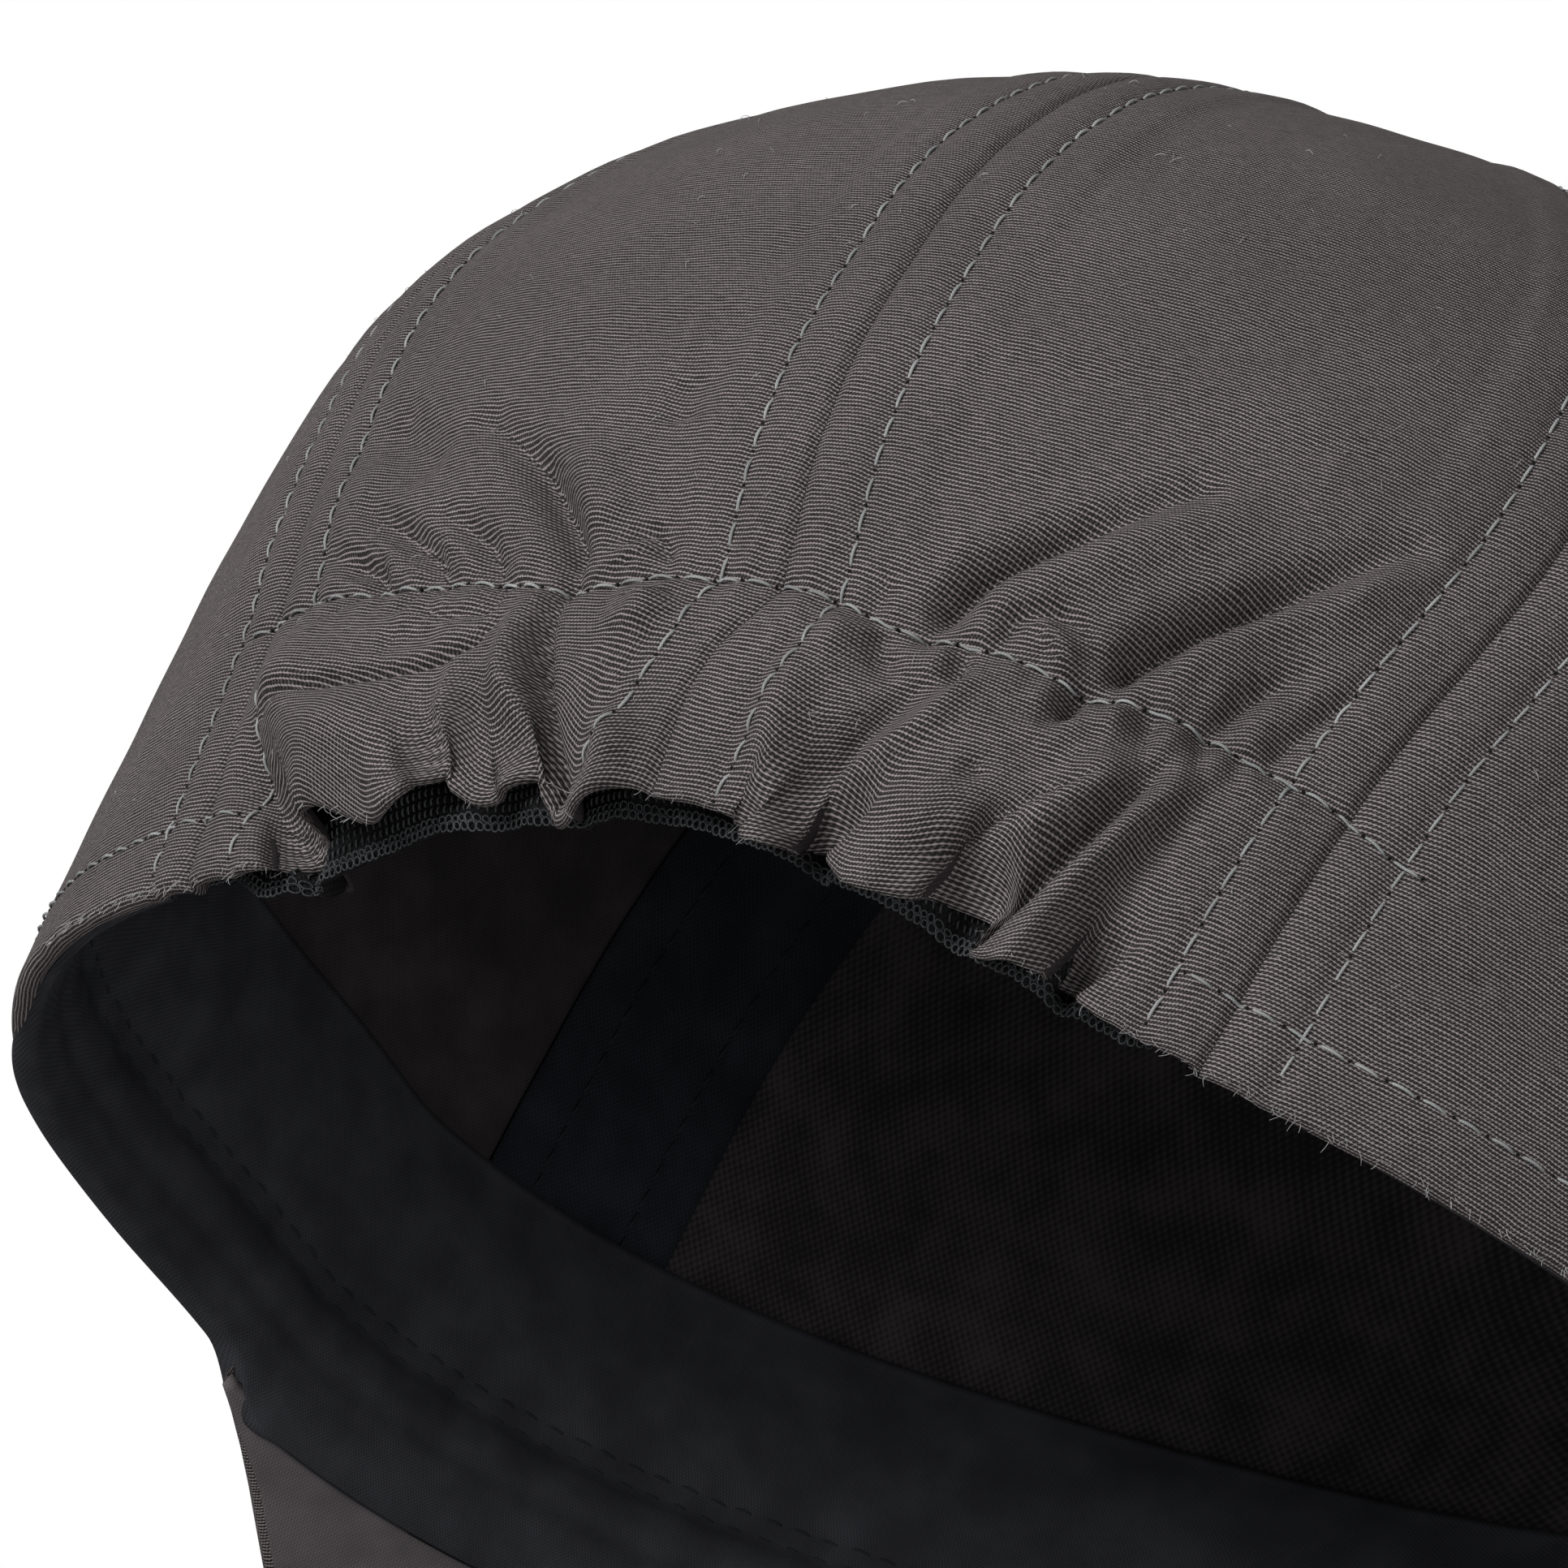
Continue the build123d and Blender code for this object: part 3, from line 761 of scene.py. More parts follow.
thread = plain_cloth("thread", (0.15, 0.155, 0.155), (0.36, 0.365, 0.365), 0.25, 0.75, 0.5)
dark_thread = plain_cloth("dark_thread", (0.012, 0.0128, 0.0152), (0.026, 0.0275, 0.0315), 0.25, 0.75)
# the needle holes' near-black colour is painted shade, the dark inside of a hole, laid on real shallow pits
needle_hole_shade = plain_cloth("needle_hole_painted_shade", (0.006, 0.0055, 0.0055), (0.01, 0.009, 0.009), 0.5)
lint = plain_cloth("lint", (0.25, 0.25, 0.25), (0.42, 0.42, 0.42), 0.3)
plastic = plain_cloth("visor_board", (0.55, 0.55, 0.53), (0.65, 0.65, 0.63), 3.0, 0.5, 0.1)
metal_nodes = Nodes("button_metal")
speckle = metal_nodes.noise(metal_nodes.place(), 900.0, 4.0)
metal_nodes.bump(speckle, 0.2, 0.0001)
metal = metal_nodes.finish(metal_nodes.mix(speckle, (0.05, 0.05, 0.052), (0.09, 0.09, 0.093)), 0.4, 0.5,
                           metallic=0.6)


# ---------------------------------------------------------------- pieces that bend with the back


def bends(piece, slot_name, *nodes):
    """A soft piece of the crown: its placement is baked into its points, and the CAD nodes it stands for are
    hidden.
    """
    for one in piece if isinstance(piece, list) else [piece]:
        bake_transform(one)
        if nodes:
            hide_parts(*nodes)
    return piece


def rides(piece, slot_name, *nodes):
    """A piece that keeps its shape and moves with the front of the crown."""
    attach(piece, "crown")
    if nodes:
        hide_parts(*nodes)


def spread(count, crowding=0.55):
    """Shares from 0 to 1, closer together near both ends."""
    t = np.linspace(0, 1, count)
    return (1 - crowding) * t + crowding * (0.5 - 0.5 * np.cos(np.pi * t))


PULL_TALL = 15.0                  # height over which the rows follow the gathered edge
REAR_RAISE = 0.8                  # the rear panels' cloth ends this far above their edge line
ROLL_ANGLES = np.radians([22, 50, 90, 130, 158])     # of the rows round a turned edge


def crown_panel(name, left, right, columns, levels, roll, fold_height, inner):
    """One panel of the crown from seam to seam, with its turned lower edge."""
    u = spread(columns)
    low = left(4.0) + (right(4.0) - left(4.0)) * u
    edge = lower_edge(low)
    pulled = 0 * low                             # how far the gathered edge is pulled up or hangs down
    if name.startswith("rear"):
        edge = edge + REAR_RAISE
        pulled = gathered_edge(low) - edge

    def azimuth(height):
        return left(height) + (right(height) - left(height)) * u

    outside, inside = [], []
    for v in levels:
        even = edge + roll + v * (TOP - edge - roll)
        height = even + pulled * (1 - step(0, PULL_TALL, even - edge))
        outside.append((height, 0 * u, even))
        thick = CLOTH + (2 * roll - CLOTH) * (1 - step(fold_height - 0.5, fold_height + 0.3, even - edge))
        inside.append((height, -thick, 2 * (edge + roll) - math.pi * roll - even))
    turn = []
    for angle in ROLL_ANGLES:
        turn.append((edge + pulled + roll - roll * np.sin(angle), -roll + roll * np.cos(angle),
                     edge + roll - roll * angle))
    return shell(name, outside[::-1] + turn + inside, azimuth, cloth, inner)


def mirrored(seam):
    return lambda height: -seam(height)


def full_turn(seam):
    return lambda height: 360 - seam(height)


def levels_with(dense_to, dense_step, above):
    """Shares of the height, closer together low down."""
    low = np.arange(0, dense_to, dense_step) / TOP
    return np.concatenate([low, np.linspace(dense_to / TOP, 1, above)])


rear_levels = levels_with(58, 0.55, 46)
side_levels = levels_with(30, 0.8, 60)
# half thickness of each turned edge
rear_roll, hem_roll, front_roll = 0.75, 1.05, 0.5

panels = [
    ("rear_panel_left", centre_seam, rear_seam, 130, rear_levels, rear_roll, 3.0),
    ("rear_panel_right", mirrored(rear_seam), centre_seam, 130, rear_levels, rear_roll, 3.0),
    ("side_panel_left", rear_seam, front_seam, 110, side_levels, hem_roll, 7.0),
    ("side_panel_right", mirrored(front_seam), mirrored(rear_seam), 110, side_levels, hem_roll, 7.0),
    ("front_panel", front_seam, full_turn(front_seam), 120, side_levels, front_roll, 1.5),
]
for name, left, right, columns, levels, roll, fold_height in panels:
    panel = crown_panel(name + "_cloth", left, right, columns, levels, roll, fold_height, cloth_inside)
    bends(panel, "crown_cloth", name)


# ---------------------------------------------------------------- elastic

ELASTIC_DEEP = 4.0                # its depth at its edge, which is more than at the channel's line
ELASTIC_SHALLOWER = 2.0           # by how much it is less there
ELASTIC_FOLLOWS = 0.3             # share of the cloth's relief that it follows
ELASTIC_UNDER = 1.8               # where the cloth is drawn in, it lies this far under it


def elastic_skin(azimuth, height, out=0.0):
    """Outer face of the elastic: it follows the cloth only where that is drawn in."""
    raised = relief(azimuth, height)
    inwards, _ = tucks(azimuth, height)
    deep = ELASTIC_DEEP - ELASTIC_SHALLOWER * step(10, 20, height)
    raised = np.minimum(ELASTIC_FOLLOWS * raised - deep, raised - inwards - ELASTIC_UNDER)
    return off_crown(azimuth, height, raised + out)


ELASTIC_RISE = 0.1                # how far the elastic's edge stands above the rim that is seen
ELASTIC_END = 46.0
ELASTIC_TALL = 20.0
LOOP_PITCH = 0.64
LOOP_RADIUS, DASH_RADIUS = 0.085, 0.1     # of the thread
DASH_TALL = 0.7


def elastic_edge(azimuth):
    """Height of the elastic's lower edge, which is tucked up at its ends."""
    return rear_edge(azimuth) + ELASTIC_RISE + 2.5 * step(36, 41, np.abs(azimuth))


columns = np.linspace(-ELASTIC_END, ELASTIC_END, 600)
elastic_low = elastic_edge(columns)
rise = np.concatenate([np.arange(0.4, 6, 0.35), np.linspace(6, ELASTIC_TALL, 20)])
rib = 0.08 * np.cos(columns * REAR_MM * 2 * np.pi / LOOP_PITCH)
outline = [(elastic_low + r, rib - 0.15) for r in rise[::-1]]
outline += [(elastic_low + 0.1, rib * 0 - 0.55), (elastic_low + 0.4, rib * 0 - 0.95)]
outline += [(elastic_low + r, rib * 0 - 1.1) for r in rise[1:]]
elastic = shell("elastic_band_knit", outline, lambda height: columns, knit, on_skin=elastic_skin)
bends(elastic, "knitted_elastic", "elastic_band")


def elastic_row(above, phase):
    """Places of a row of knitted stitches: azimuths and heights."""
    count = int(2 * (ELASTIC_END - 2) * REAR_MM / LOOP_PITCH)
    centre = np.linspace(2 - ELASTIC_END, ELASTIC_END - 2, count) + phase
    return centre, elastic_edge(centre) + above


def elastic_rings(name, above, half_wide, half_tall, phase):
    """Row of small thread loops along the elastic's lower edge."""
    centre, low = elastic_row(above, phase)
    turn = full_circle(10)
    wobble = 0.07 * np.sin(np.arange(len(centre)) * 1.9)
    azimuth = centre[:, None] + (half_wide + wobble[:, None] * 0.3) * np.cos(turn) / REAR_MM
    height = low[:, None] + (half_tall + wobble[:, None]) * np.sin(turn)
    tilt = 0.1 + 0.12 * np.sin(turn + 0.6)
    centres = elastic_skin(azimuth, height, tilt)
    return tubes(name, centres, crown_normal(azimuth, height), LOOP_RADIUS, knit_loops, sides=5, closed=True)


def elastic_dashes(name, above, phase):
    """Row of short upright stitches knitted into the elastic."""
    centre, low = elastic_row(above, phase)
    share = np.linspace(0, 1, 4)
    azimuth = centre[:, None] + 0.12 * (share - 0.5)
    height = low[:, None] + DASH_TALL * share
    centres = elastic_skin(azimuth, height, np.array([-0.1, 0.08, 0.08, -0.1]))
    return tubes(name, centres, crown_normal(azimuth, height), DASH_RADIUS, knit_loops, sides=5)


loops = [
    elastic_rings("elastic_loops_edge", 0.25, 0.27, 0.34, 0.0),
    elastic_rings("elastic_loops_upper", 0.9, 0.26, 0.3, 0.3),
]
for k, phase in enumerate((0.0, 0.3, 0.0, 0.3)):
    loops.append(elastic_dashes("elastic_dashes_" + str(k + 1), 1.7 + k, phase))
bends(loops, "knitted_elastic")


# ---------------------------------------------------------------- inside: facings, tapes, stiffener, band

FACING_DEEP = 1.35                # the facing lies this far behind the elastic's face


def inner_skin(azimuth, height, out=0.0):
    """Smooth cloth on the inside of the gathered channel."""
    return elastic_skin(azimuth, height, out - FACING_DEEP)


def strip(name, azimuths, low, high, outer, thick, material, surface, rows=24):
    """Flat closed strip between two heights, given for each column."""
    low, high = low + 0 * azimuths, high + 0 * azimuths
    shares = np.linspace(0, 1, rows)
    outline = [(low + (high - low) * v, outer + 0 * azimuths) for v in shares[::-1]]
    outline += [(low + (high - low) * v, outer - thick + 0 * azimuths) for v in shares]
    return shell(name, outline, lambda height: azimuths, material, on_skin=surface)


for side, sign in (("left", 1), ("right", -1)):
    azimuths = sign * np.linspace(0.2, 40.5, 120)
    facing = strip("channel_facing_" + side + "_cloth", azimuths, rear_edge(azimuths) + ELASTIC_RISE + 2.2,
                   channel_line(azimuths) + 1.8, 0.0, 0.75, cloth_inside, inner_skin)
    bends(facing, "crown_cloth", "channel_facing_" + side)


def inside_smooth(azimuth, height, out=0.0):
    """Inside of the crown with only the broad shape of the cloth."""
    return off_crown(azimuth, height, np.minimum(relief(azimuth, height), 0.4) + out)


TAPE_HALF = 11.0
TAPE_OUTER, TAPE_INNER = -1.0, -1.75     # its two faces, from the outside of the cloth
TAPE_STITCH = -1.78
tape_seams = [
    ("seam_tape_centre_back", centre_seam, 27.5),
    ("seam_tape_rear_left", rear_seam, 22.0),
    ("seam_tape_rear_right", mirrored(rear_seam), 22.0),
    ("seam_tape_front_left", front_seam, 9.0),
    ("seam_tape_front_right", mirrored(front_seam), 9.0),
]
for name, seam, start in tape_seams:
    across = np.linspace(-1, 1, 17)
    heights = np.linspace(start, TOP, 90)

    def tape_azimuth(height, seam=seam, across=across):
        reach = np.minimum(TAPE_HALF / degree_width(seam(height), height), 34)
        return seam(height) + across * reach

    outline = [(h + 0 * across, TAPE_OUTER + 0 * across) for h in heights[::-1]]
    outline += [(h + 0 * across, TAPE_INNER + 0.25 * np.abs(across) ** 6) for h in heights]
    tape = shell(name + "_woven", outline, tape_azimuth, tape_cloth, on_skin=inside_smooth)
    bends(tape, "seam_tape", name)

azimuths = np.linspace(130, 230, 60)
stiff = strip("front_stiffener_mesh", azimuths, lower_edge(azimuths) + 4.0, 148.0, -0.95, 0.25, mesh_cloth,
              inside_smooth, rows=50)
bends(stiff, "stiffener_mesh", "front_stiffener")

BAND_TALL = 32.0
BAND_END = 45.5                   # azimuth
BAND_RAISE = 1.2                  # its edge stands this far above the crown's
BAND_DEEP = 3.0                   # its face lies this far inside the crown
BAND_THICK = 0.9
BAND_SEAMS = (9.3, 11.4)          # heights of its two rows of stitching
band_azimuths = np.linspace(BAND_END, 360 - BAND_END, 620)
band_low = lower_edge(band_azimuths) + BAND_RAISE


def band_shape(azimuth, above):
    """Inward bulge and puckers of the sweatband, above its lower edge."""
    x = azimuth * 1.45
    wave = np.sin(x * 2 * np.pi / 9.3 + 1.7 * np.sin(x / 31))
    wave = wave + 0.6 * np.sin(x * 2 * np.pi / 5.7 + 2 * np.sin(x / 17))
    seam_lines = sum(np.exp(-((above - seam) / 0.9) ** 2) for seam in BAND_SEAMS)
    rolled_edge = np.exp(-((above - 3.4) / 1.1) ** 2)
    near_seam = np.exp(-((above - 10.3) / 5.5) ** 2)
    return (
        0.9 * np.sin(np.pi * np.clip(above / BAND_SEAMS[0], 0, 1))
        + 1.3 * np.sin(np.pi * np.clip((above - 11) / 20, 0, 1))
        - 0.45 * seam_lines - 0.5 * rolled_edge + 0.14 * wave * near_seam
        + 0.38 * np.sin(x / 13 + above / 6) * np.sin(above / 7 + 1)
    )


def band_skin(azimuth, height, out=0.0):
    """Visible face of the sweatband; out is measured inwards from it."""
    above = height - lower_edge(azimuth) - BAND_RAISE
    return off_crown(azimuth, height, -(BAND_DEEP + band_shape(azimuth, above) + out))


shares = np.linspace(0, 1, 44)
# further forward it turns out under the hem and hides it, and at the visor it reaches below the visor's root
from_back = np.minimum(band_azimuths, 360 - band_azimuths)
turned_out = step(64, 84, from_back) * (1 - step(VISOR_CORNER + 2, VISOR_CORNER + 7, from_back))
down_visor = step(VISOR_CORNER - 1, VISOR_CORNER + 6, from_back)
outline = [(band_low + BAND_TALL * v, 0 * band_azimuths - BAND_THICK) for v in shares[::-1]]
TURNED_EDGE = [(-1.15, -0.9), (-1.1, -3.0), (-1.4, -3.3), (-1.75, -3.0),
               (-1.9, -1.8), (-1.8, -0.6), (-1.2, -0.1)]
for low, out in TURNED_EDGE:
    straight = -0.45 if low > -1.5 else -0.3
    edge = band_low + turned_out * low + straight * (1 - turned_out)
    outline.append((edge - down_visor * (VISOR_THICK + BAND_RAISE),
                    turned_out * out + (1 - turned_out) * max(out, -BAND_THICK)))
outline += [(band_low + BAND_TALL * v, 0 * band_azimuths) for v in shares]
band = shell("sweatband_cloth", outline, lambda height: band_azimuths, band_cloth, on_skin=band_skin)
bends(band, "sweatband_cloth", "sweatband_face")


FELT_DEEP = 1.2                   # the padding lies this far inside the crown


def felt_skin(azimuth, height, out=0.0):
    """Outer face of the sweatband's padding."""
    return off_crown(azimuth, height, out - FELT_DEEP)


felt_azimuths = np.linspace(BAND_END + 0.8, 359.2 - BAND_END, 160)
padding = strip("sweatband_padding_felt", felt_azimuths, lower_edge(felt_azimuths) + 2.0,
                lower_edge(felt_azimuths) + BAND_TALL + 0.4, 0.0, 0.5, felt, felt_skin)
bends(padding, "sweatband_felt", "sweatband_padding")


# ---------------------------------------------------------------- visor

VISOR_WIDEST = -86.0
VISOR_SQUARENESS = 2.26
VISOR_CORNER_HALF = corner_x - 2.3
VISOR_HIDDEN = 0.022              # share of the crown's size that the visor's corners start inside it
ROOT_SHARE = 0.972                # where the visor ends inside the crown, as a share of the crown's size
ROOT_CENTRE = -25.0               # the point behind the visor that its root is drawn from

y = np.linspace(corner_y, VISOR_WIDEST, 80)[:-1]
towards_corner = ((y - VISOR_WIDEST) / (corner_y - VISOR_WIDEST)) ** 1.4
back_x = VISOR_HALF - (VISOR_HALF - VISOR_CORNER_HALF) * towards_corner
turn = np.linspace(0, np.pi / 2, 200)
front_x = VISOR_HALF * np.cos(turn) ** (2 / VISOR_SQUARENESS)
front_y = VISOR_WIDEST + (VISOR_TIP - VISOR_WIDEST) * np.sin(turn) ** (2 / VISOR_SQUARENESS)
half_edge = np.stack([np.concatenate([back_x, front_x]), np.concatenate([y, front_y])], 1)
# it starts where it comes out from under the crown
outside = np.hypot(half_edge[:, 0] / (FULL_SIDE - SIDE_FLARE), half_edge[:, 1] / (FULL_FRONT - FRONT_FLARE))
half_edge = half_edge[np.argmax(outside + VISOR_HIDDEN > 1):]
whole_edge = np.concatenate([half_edge, half_edge[-2::-1] * (-1, 1)])
walked = lengths_along(whole_edge)
VISOR_COLUMNS = 241
at = walked[-1] * spread(VISOR_COLUMNS, 0.25)
edge_line = np.stack([np.interp(at, walked, whole_edge[:, k]) for k in (0, 1)], 1)
tangent = unit(np.gradient(edge_line, axis=0))
inwards = np.stack([tangent[:, 1], -tangent[:, 0]], 1)
inwards *= np.sign((inwards * (-edge_line + (0, VISOR_WIDEST))).sum(1))[:, None]
# its root lies inside the crown, on the lines from a point behind the visor to its edge
behind = np.array([0, ROOT_CENTRE])
root_half = ROOT_SHARE * np.array([FULL_SIDE - SIDE_FLARE, FULL_FRONT - FRONT_FLARE])
way, begin = (edge_line - behind) / root_half, behind / root_half
square, along = (way**2).sum(1), (way * begin).sum(1)
share = (np.sqrt(along**2 - square * ((begin**2).sum() - 1)) - along) / square
root_line = behind + share[:, None] * (edge_line - behind)
reach = np.linalg.norm(root_line - edge_line, axis=1)
EDGE_ZONE = 4.0
edge_zone = np.minimum(EDGE_ZONE, 0.6 * reach)


def visor_wave(x, y):
    """Slight waves of the visor's cloth."""
    return 0.12 * np.sin(x / 9) * np.sin(y / 11)


def visor_place(inset, drop):
    """Points of the visor at an inset from its edge, or further in towards its root when inset is above 1
    edge zone; drop is how far below its upper face."""
    near = edge_line + inwards * (np.minimum(inset, 1) * edge_zone)[:, None]
    share = np.clip(inset - 1, 0, 1)
    place = near + (root_line - near) * (share + 0 * edge_zone)[:, None]
    x, y = place.T
    return np.stack([x, y, visor_top(x, y, drop) + visor_wave(x, y)], 1)


def visor_shell(name, rows, material):
    """Closed piece of the visor from rows of (inset, drop)."""
    placed = [visor_place(np.full(VISOR_COLUMNS, i), d) for i, d in rows]
    flat = [np.stack([p[:, 0], p[:, 1]], 1) for p in placed]
    faces = grid(len(rows), VISOR_COLUMNS, close_rows=True).tolist()
    first_end = [row * VISOR_COLUMNS for row in range(len(rows))]
    faces += [first_end, [k + VISOR_COLUMNS - 1 for k in first_end[::-1]]]
    return new_piece(name, np.stack(placed), faces, material, np.stack(flat))


half = VISOR_THICK / 2
field = list(np.linspace(2, 1, 26))
upper_rows = [(i, 0.0) for i in field] + [(0.75, 0.0), (0.5, 0.02)]
for angle in np.radians([15, 35, 55, 75, 90, 105, 125, 145, 165]):
    upper_rows.append((half * (1 - np.sin(angle)) / EDGE_ZONE, half - half * np.cos(angle)))
upper_rows += [(0.5, VISOR_THICK), (0.56, VISOR_THICK), (0.6, VISOR_THICK - 0.4), (0.56, VISOR_THICK - 0.8)]
inner_half = half - 0.8
for angle in np.radians([165, 125, 90, 55, 15]):
    upper_rows.append(((half - inner_half * np.sin(angle)) / EDGE_ZONE, half - inner_half * np.cos(angle)))
upper_rows += [(i, 0.8) for i in field[::-1]]
visor_upper = visor_shell("visor_upper_cover_cloth", upper_rows, cloth)
lower_rows = [(i, VISOR_THICK + 0.05) for i in field]
lower_rows += [(0.45, VISOR_THICK + 0.05), (0.4, VISOR_THICK - 0.05)]
lower_rows += [(0.5, VISOR_THICK - 0.7)] + [(i, VISOR_THICK - 0.7) for i in field[::-1]]
visor_lower = visor_shell("visor_lower_cover_cloth", lower_rows, visor_under)
rides(visor_upper, "crown_cloth", "visor_upper_cover")
rides(visor_lower, "visor_underside_cloth", "visor_lower_cover")


# ---------------------------------------------------------------- stitching

CHANNEL_SHIFT = 1.5               # the gathers push the centre rows aside inside the channel, in degrees
sewn = []


def beside(seam, height, offset):
    """Azimuths of a line at a distance from a seam."""
    return seam(height) + offset / degree_width(seam(height), height)


def seam_row(name, seam, offset, start):
    """Topstitching beside a seam."""
    height = np.arange(start, TOP - 3, 0.5)
    azimuth = beside(seam, height, offset)
    if seam is centre_seam:
        azimuth = azimuth - CHANNEL_SHIFT * step(7, 14, height) * (1 - step(20, 25, height))
    # the outer rows' needle holes are coloured with near-black painted shade
    sewn.extend(stitches(name, azimuth, height, thread, needle_hole_shade, 0.06))


for name, seam, start in (
    ("centre", centre_seam, 7.4),
    ("rear_left", rear_seam, -0.2),
    ("rear_right", mirrored(rear_seam), 0.6),
    ("front_left", front_seam, 9.0),
    ("front_right", mirrored(front_seam), 9.0),
):
    for side, offset in (("a", SEAM_TO_STITCH), ("b", -SEAM_TO_STITCH)):
        seam_row("stitches_" + name + "_" + side, seam, offset, start)

azimuths = np.arange(-48, 48.5, 0.5)
sewn.extend(stitches("stitches_channel", azimuths, channel_line(azimuths), thread, needle_hole_shade, 0.25))
HEM_STITCH = 6.3
for name, start, end in (("left", 38, 109), ("right", -38, -109)):
    azimuths = np.linspace(start, end, 150)
    sewn.extend(stitches("stitches_hem_" + name, azimuths, rear_edge(azimuths) + HEM_STITCH, thread, needle_hole_shade,
                         0.05))
bends(sewn, "crown_cloth")


inner_sewn = []
for name, seam, start in tape_seams:
    for side, offset in (("a", SEAM_TO_STITCH), ("b", -SEAM_TO_STITCH)):
        height = np.arange(start + 1.5, TOP - 14, 0.6)
        inner_sewn.extend(stitches("stitches_" + name + "_" + side, beside(seam, height, offset), height,
                                   dark_thread, tape_cloth, TAPE_STITCH, inside_smooth, -1.0))
azimuths = np.linspace(BAND_END + 1, 359 - BAND_END, 500)
for name, above in zip(("stitches_band_low", "stitches_band_high"), BAND_SEAMS):
    inner_sewn.extend(stitches(name, azimuths, lower_edge(azimuths) + BAND_RAISE + above, dark_thread,
                               band_cloth, 0.0, band_skin, -1.0))
bends(inner_sewn, "seam_tape")


# rows of stitching round the visor, above and below
VISOR_ROWS = 6
FIRST_ROW = 6.0                   # distance from the visor's edge
ROW_SPACING = 9.0
for k in range(VISOR_ROWS):
    inset_mm = FIRST_ROW + ROW_SPACING * k
    line = edge_line + inwards * inset_mm
    line = line[(line[:, 1] < VISOR_WIDEST + 30 - 3 * k) & (reach > inset_mm + 6)]
    length = lengths_along(line)
    count = int((length[-1] - 1) / STITCH_PITCH)
    share = np.linspace(0, 1, 7)
    where = 0.5 + np.arange(count)[:, None] * STITCH_PITCH + share * STITCH_LENGTH
    px, py = (np.interp(where, length, line[:, i]) for i in (0, 1))
    for name, drop, up in (("top", 0.0, 1), ("under", VISOR_THICK + 0.05, -1)):
        pz = visor_top(px, py, drop) + visor_wave(px, py) + up * STITCH_LIFT
        normals = np.zeros(px.shape + (3,))
        normals[..., 2] = up
        rides(tubes("stitches_visor_" + name + "_" + str(k + 1), np.stack([px, py, pz], -1), normals,
                    STITCH_RADIUS, thread if up > 0 else dark_thread), "crown_cloth")


# ---------------------------------------------------------------- lint

def hairs(name, root, outward, length, way, curl, arch, radii):
    """Many short hairs of lint: each leaves its root along a way, curls off it and arches outwards."""
    share = np.linspace(0, 1, 5)[None, :, None]
    outward = outward[:, None]
    bent = way[:, None] * share + curl[:, None] * share**2 + arch * outward * np.sin(np.pi * share)
    lines = root[:, None] + length[:, None, None] * bent
    bends(tubes(name, lines, outward + 0 * lines, radii, lint, sides=3), "crown_cloth")


random = np.random.default_rng(11)
LINT = 320                        # hairs along the edge
azimuth = np.concatenate([random.uniform(-80, -32, LINT // 2), random.uniform(32, 60, LINT // 4),
                          random.uniform(-32, 32, LINT - LINT // 2 - LINT // 4)])
low = np.where(np.abs(azimuth) < 36, gathered_edge(azimuth), rear_edge(azimuth))
height = low + random.uniform(-0.1, 0.9, LINT)
root = skin(azimuth, height, -0.2)
outward = crown_normal(azimuth, height)
downward = np.array([0, 0, -1.0])
lean = random.normal(0, 0.9, (LINT, 2))
way = unit(downward + 0.5 * outward * random.uniform(-0.3, 1.2, (LINT, 1))
           + np.cross(outward, downward) * lean[:, :1])
curl = np.cross(way, outward) * lean[:, 1:] * 0.5 + outward * random.uniform(-0.3, 0.5, (LINT, 1))
hairs("hem_lint", root, outward, random.uniform(0.35, 1.25, LINT), way, curl, 0.0,
      np.array([0.035, 0.033, 0.03, 0.027, 0.02]))

SPECKS = 140                      # hairs that lie on the cloth
azimuth = random.uniform(-75, 60, SPECKS)
height = random.uniform(8, 110, SPECKS)
root = skin(azimuth, height, 0.02)
outward = crown_normal(azimuth, height)
way = unit(np.cross(outward, random.normal(0, 1, (SPECKS, 3))))
length = random.uniform(0.3, 1.3, SPECKS)
curl = np.cross(way, outward) * random.normal(0, 0.35, (SPECKS, 1))
hairs("surface_lint", root, outward, length, way, curl, 0.25, 0.03)


# ---------------------------------------------------------------- top button

BUTTON_RADIUS = limit("button_cover", 1, "X")
BUTTON_LOW = limit("button_cover", 0, "Z")
BUTTON_TALL = limit("button_cover", 1, "Z") - BUTTON_LOW
BUTTON_SIDES = 64
turn = full_circle(BUTTON_SIDES)
rows = []                         # from the middle of the top to the edge, and under it
for share in np.linspace(0.02, 1, 22):
    crimp = 0.12 * np.sin(turn * 9 + 1) * share**4 + 0.07 * np.sin(turn * 14 + 2) * share**5
    radius = BUTTON_RADIUS * share - 0.25 * share**6 + crimp
    rise = BUTTON_LOW + BUTTON_TALL * np.sqrt(np.maximum(1 - (share * 0.985) ** 2.4, 0))
    rows.append(np.stack([radius * np.cos(turn), radius * np.sin(turn), rise + 0 * turn], 1))
for radius, drop in ((0.985, 0.25), (0.93, 0.45), (0.84, 0.35)):
    rows.append(np.stack([BUTTON_RADIUS * radius * np.cos(turn), BUTTON_RADIUS * radius * np.sin(turn),
                          BUTTON_LOW - drop + 0 * turn], 1))
points = np.concatenate(rows)
faces = grid(len(rows), BUTTON_SIDES, close_columns=True).tolist()
faces.append(list(range(BUTTON_SIDES)))
faces.append([(len(rows) - 1) * BUTTON_SIDES + i for i in range(BUTTON_SIDES)][::-1])
button = new_piece("button_cloth", points, faces, cloth, points[:, :2])
rides(button, "crown_cloth", "button_cover")

# CAD nodes that stay get a better material
for node, finish_material in (("button_shell", metal), ("button_backing", metal), ("visor_board", plastic)):
    for holder in frame["nodes"][node].material_slots:
        holder.material = finish_material
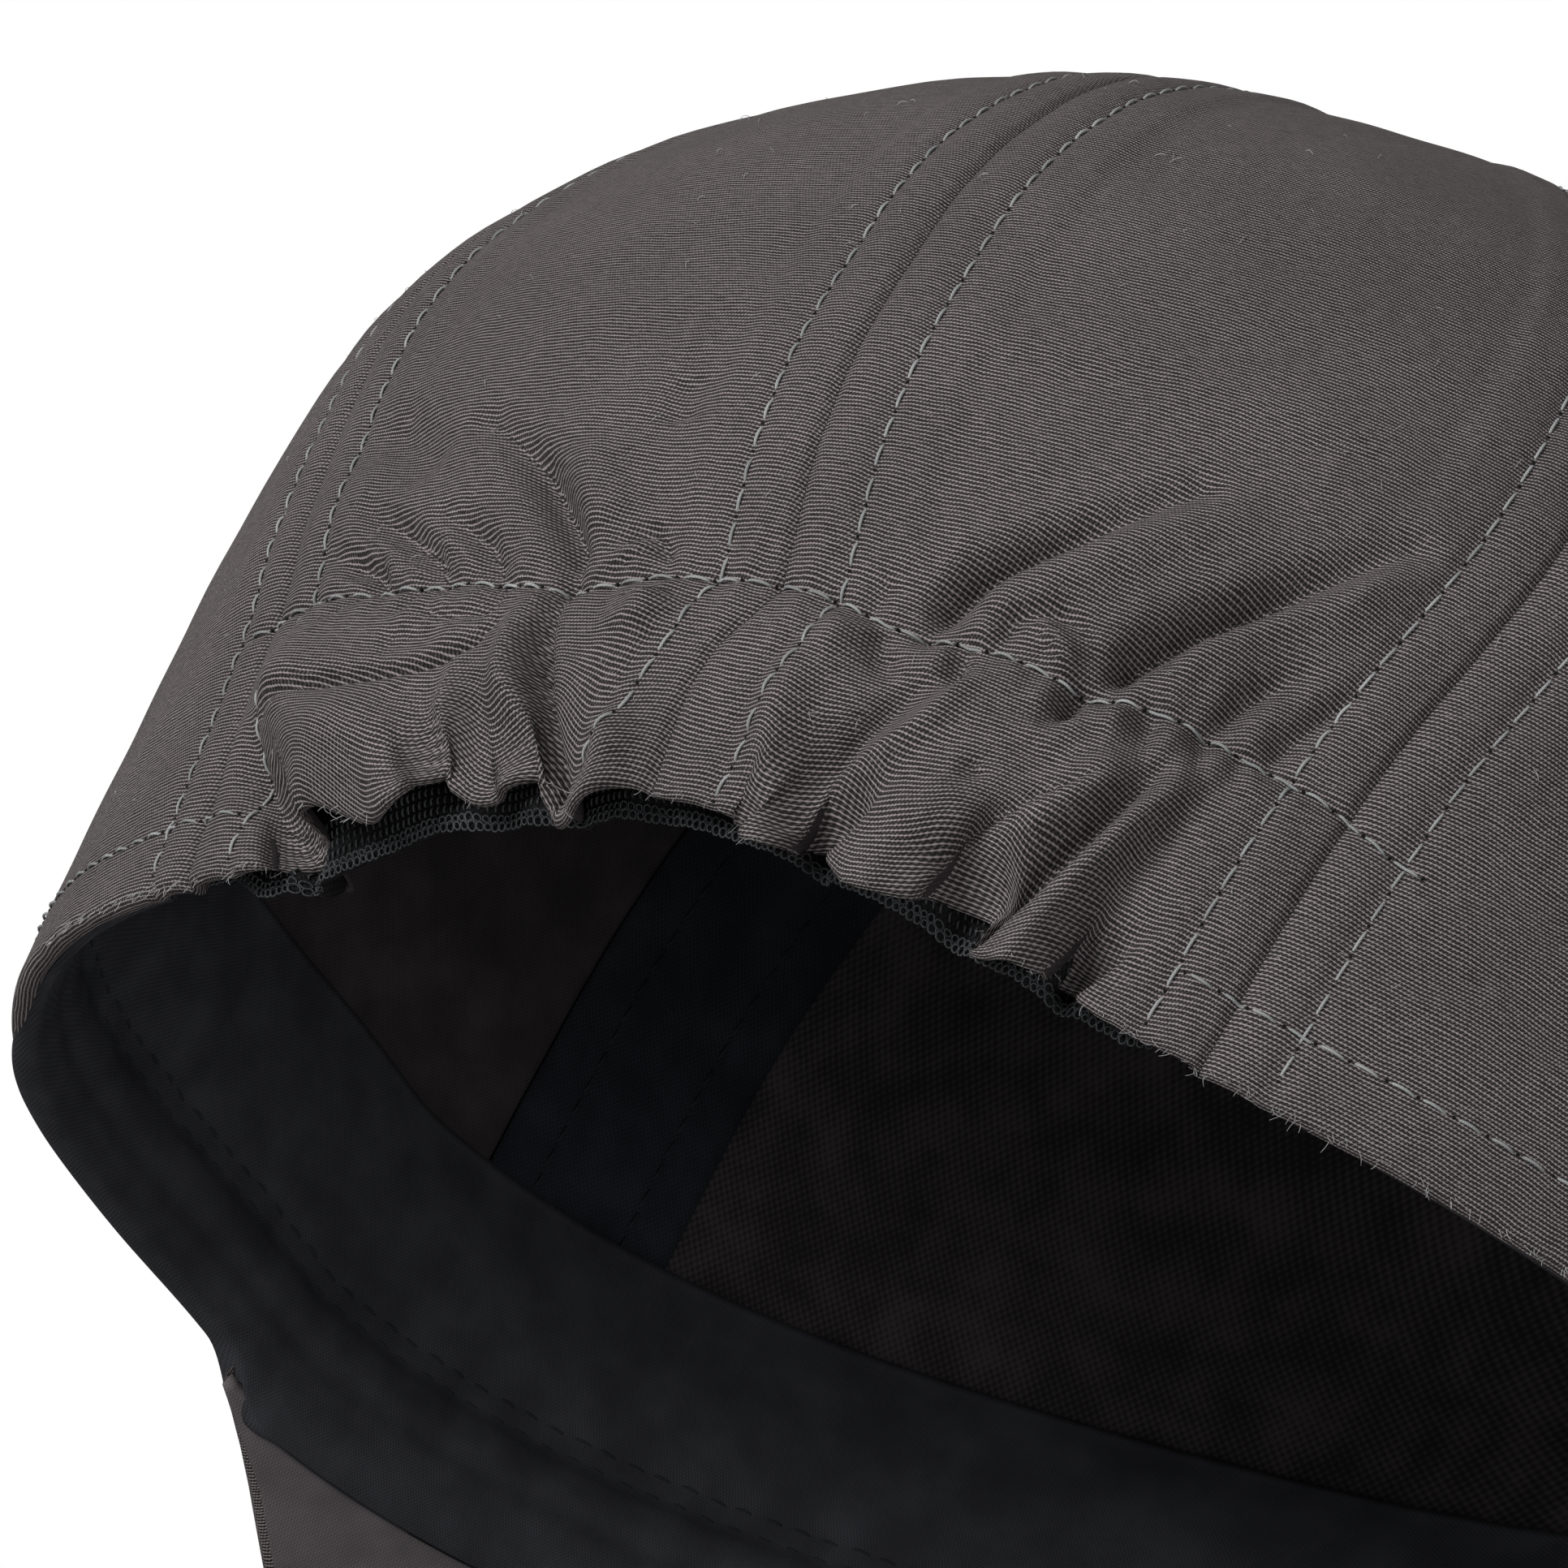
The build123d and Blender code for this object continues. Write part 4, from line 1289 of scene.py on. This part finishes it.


# ---------------------------------------------------------------- camera, lights and floor

def aim(thing, place, target, roll=0.0):
    """Puts a camera or lamp at a place, looking at a target."""
    look = (Vector(target) - Vector(place)).normalized()
    turn = look.to_track_quat("-Z", "Y").to_matrix().to_4x4() @ Matrix.Rotation(roll, 4, "Z")
    thing.matrix_world = Matrix.Translation(Vector(place)) @ turn


def lamp(name, place, target, size, power):
    data = bpy.data.lights.new(name, "AREA")
    data.shape = "DISK"
    data.size = size
    data.energy = power
    aim(add_object(name, data), place, target)


CAMERA_PLACE = (-0.2886, 0.4776, -0.2623)
CAMERA_TARGET = (0.00125, 0.050, 0.02077)
CAMERA_ROLL = 27.89               # degrees
FLOOR_LEVEL = -0.42
WORLD_LIGHT = 0.16
camera_data = bpy.data.cameras.new("photo_camera")
camera = add_object("photo_camera", camera_data)
bpy.context.scene.camera = camera
camera_data.sensor_width = 36.0
camera_data.lens = 164.9
camera_data.clip_start = 0.01
aim(camera, CAMERA_PLACE, CAMERA_TARGET, math.radians(CAMERA_ROLL))

lamp("key", (0.31, 1.1, -0.04), (0, 0.03, 0.04), 0.6, 13.5)
lamp("side_fill", (-0.8, 0.55, -0.38), (0, 0, 0.02), 0.45, 4.4)
lamp("front_fill", (0.25, -1.1, 0.45), (0, -0.05, 0.04), 0.8, 5.0)
lamp("top_fill", (0.1, 0.1, 1.3), (0, 0, 0.08), 0.8, 1.0)

floor_mesh = bpy.data.meshes.new("floor")
corners = [(x, y, FLOOR_LEVEL) for x, y in ((-4, -4), (4, -4), (4, 4), (-4, 4))]
floor_mesh.from_pydata(corners, [], [(0, 1, 2, 3)])
floor = add_object("floor", floor_mesh)
floor_nodes = Nodes("pale_floor")
spots = floor_nodes.noise(floor_nodes.place(), 9.0, 3.0)
floor_mesh.materials.append(
    floor_nodes.finish(floor_nodes.mix(spots, (0.62, 0.62, 0.62), (0.66, 0.66, 0.66)), 0.9, 0.1)
)
floor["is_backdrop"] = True

scene = bpy.context.scene
scene.view_settings.view_transform = "Standard"
world = bpy.data.worlds.new("studio")
scene.world = world
world.use_nodes = True
tree = world.node_tree
background = tree.nodes["Background"]
rays = tree.nodes.new("ShaderNodeLightPath")
seen = rays.outputs["Is Camera Ray"]
for ray in ("Is Glossy Ray", "Is Transmission Ray"):
    either = tree.nodes.new("ShaderNodeMath")
    either.operation = "MAXIMUM"
    tree.links.new(seen, either.inputs[0])
    tree.links.new(rays.outputs[ray], either.inputs[1])
    seen = either.outputs[0]
strength = tree.nodes.new("ShaderNodeMapRange")
tree.links.new(seen, strength.inputs[0])
strength.inputs[3].default_value = WORLD_LIGHT
strength.inputs[4].default_value = 1.0
background.inputs["Color"].default_value = (1, 1, 1, 1)
tree.links.new(strength.outputs[0], background.inputs["Strength"])

bpy.context.view_layer.update()
low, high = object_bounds()
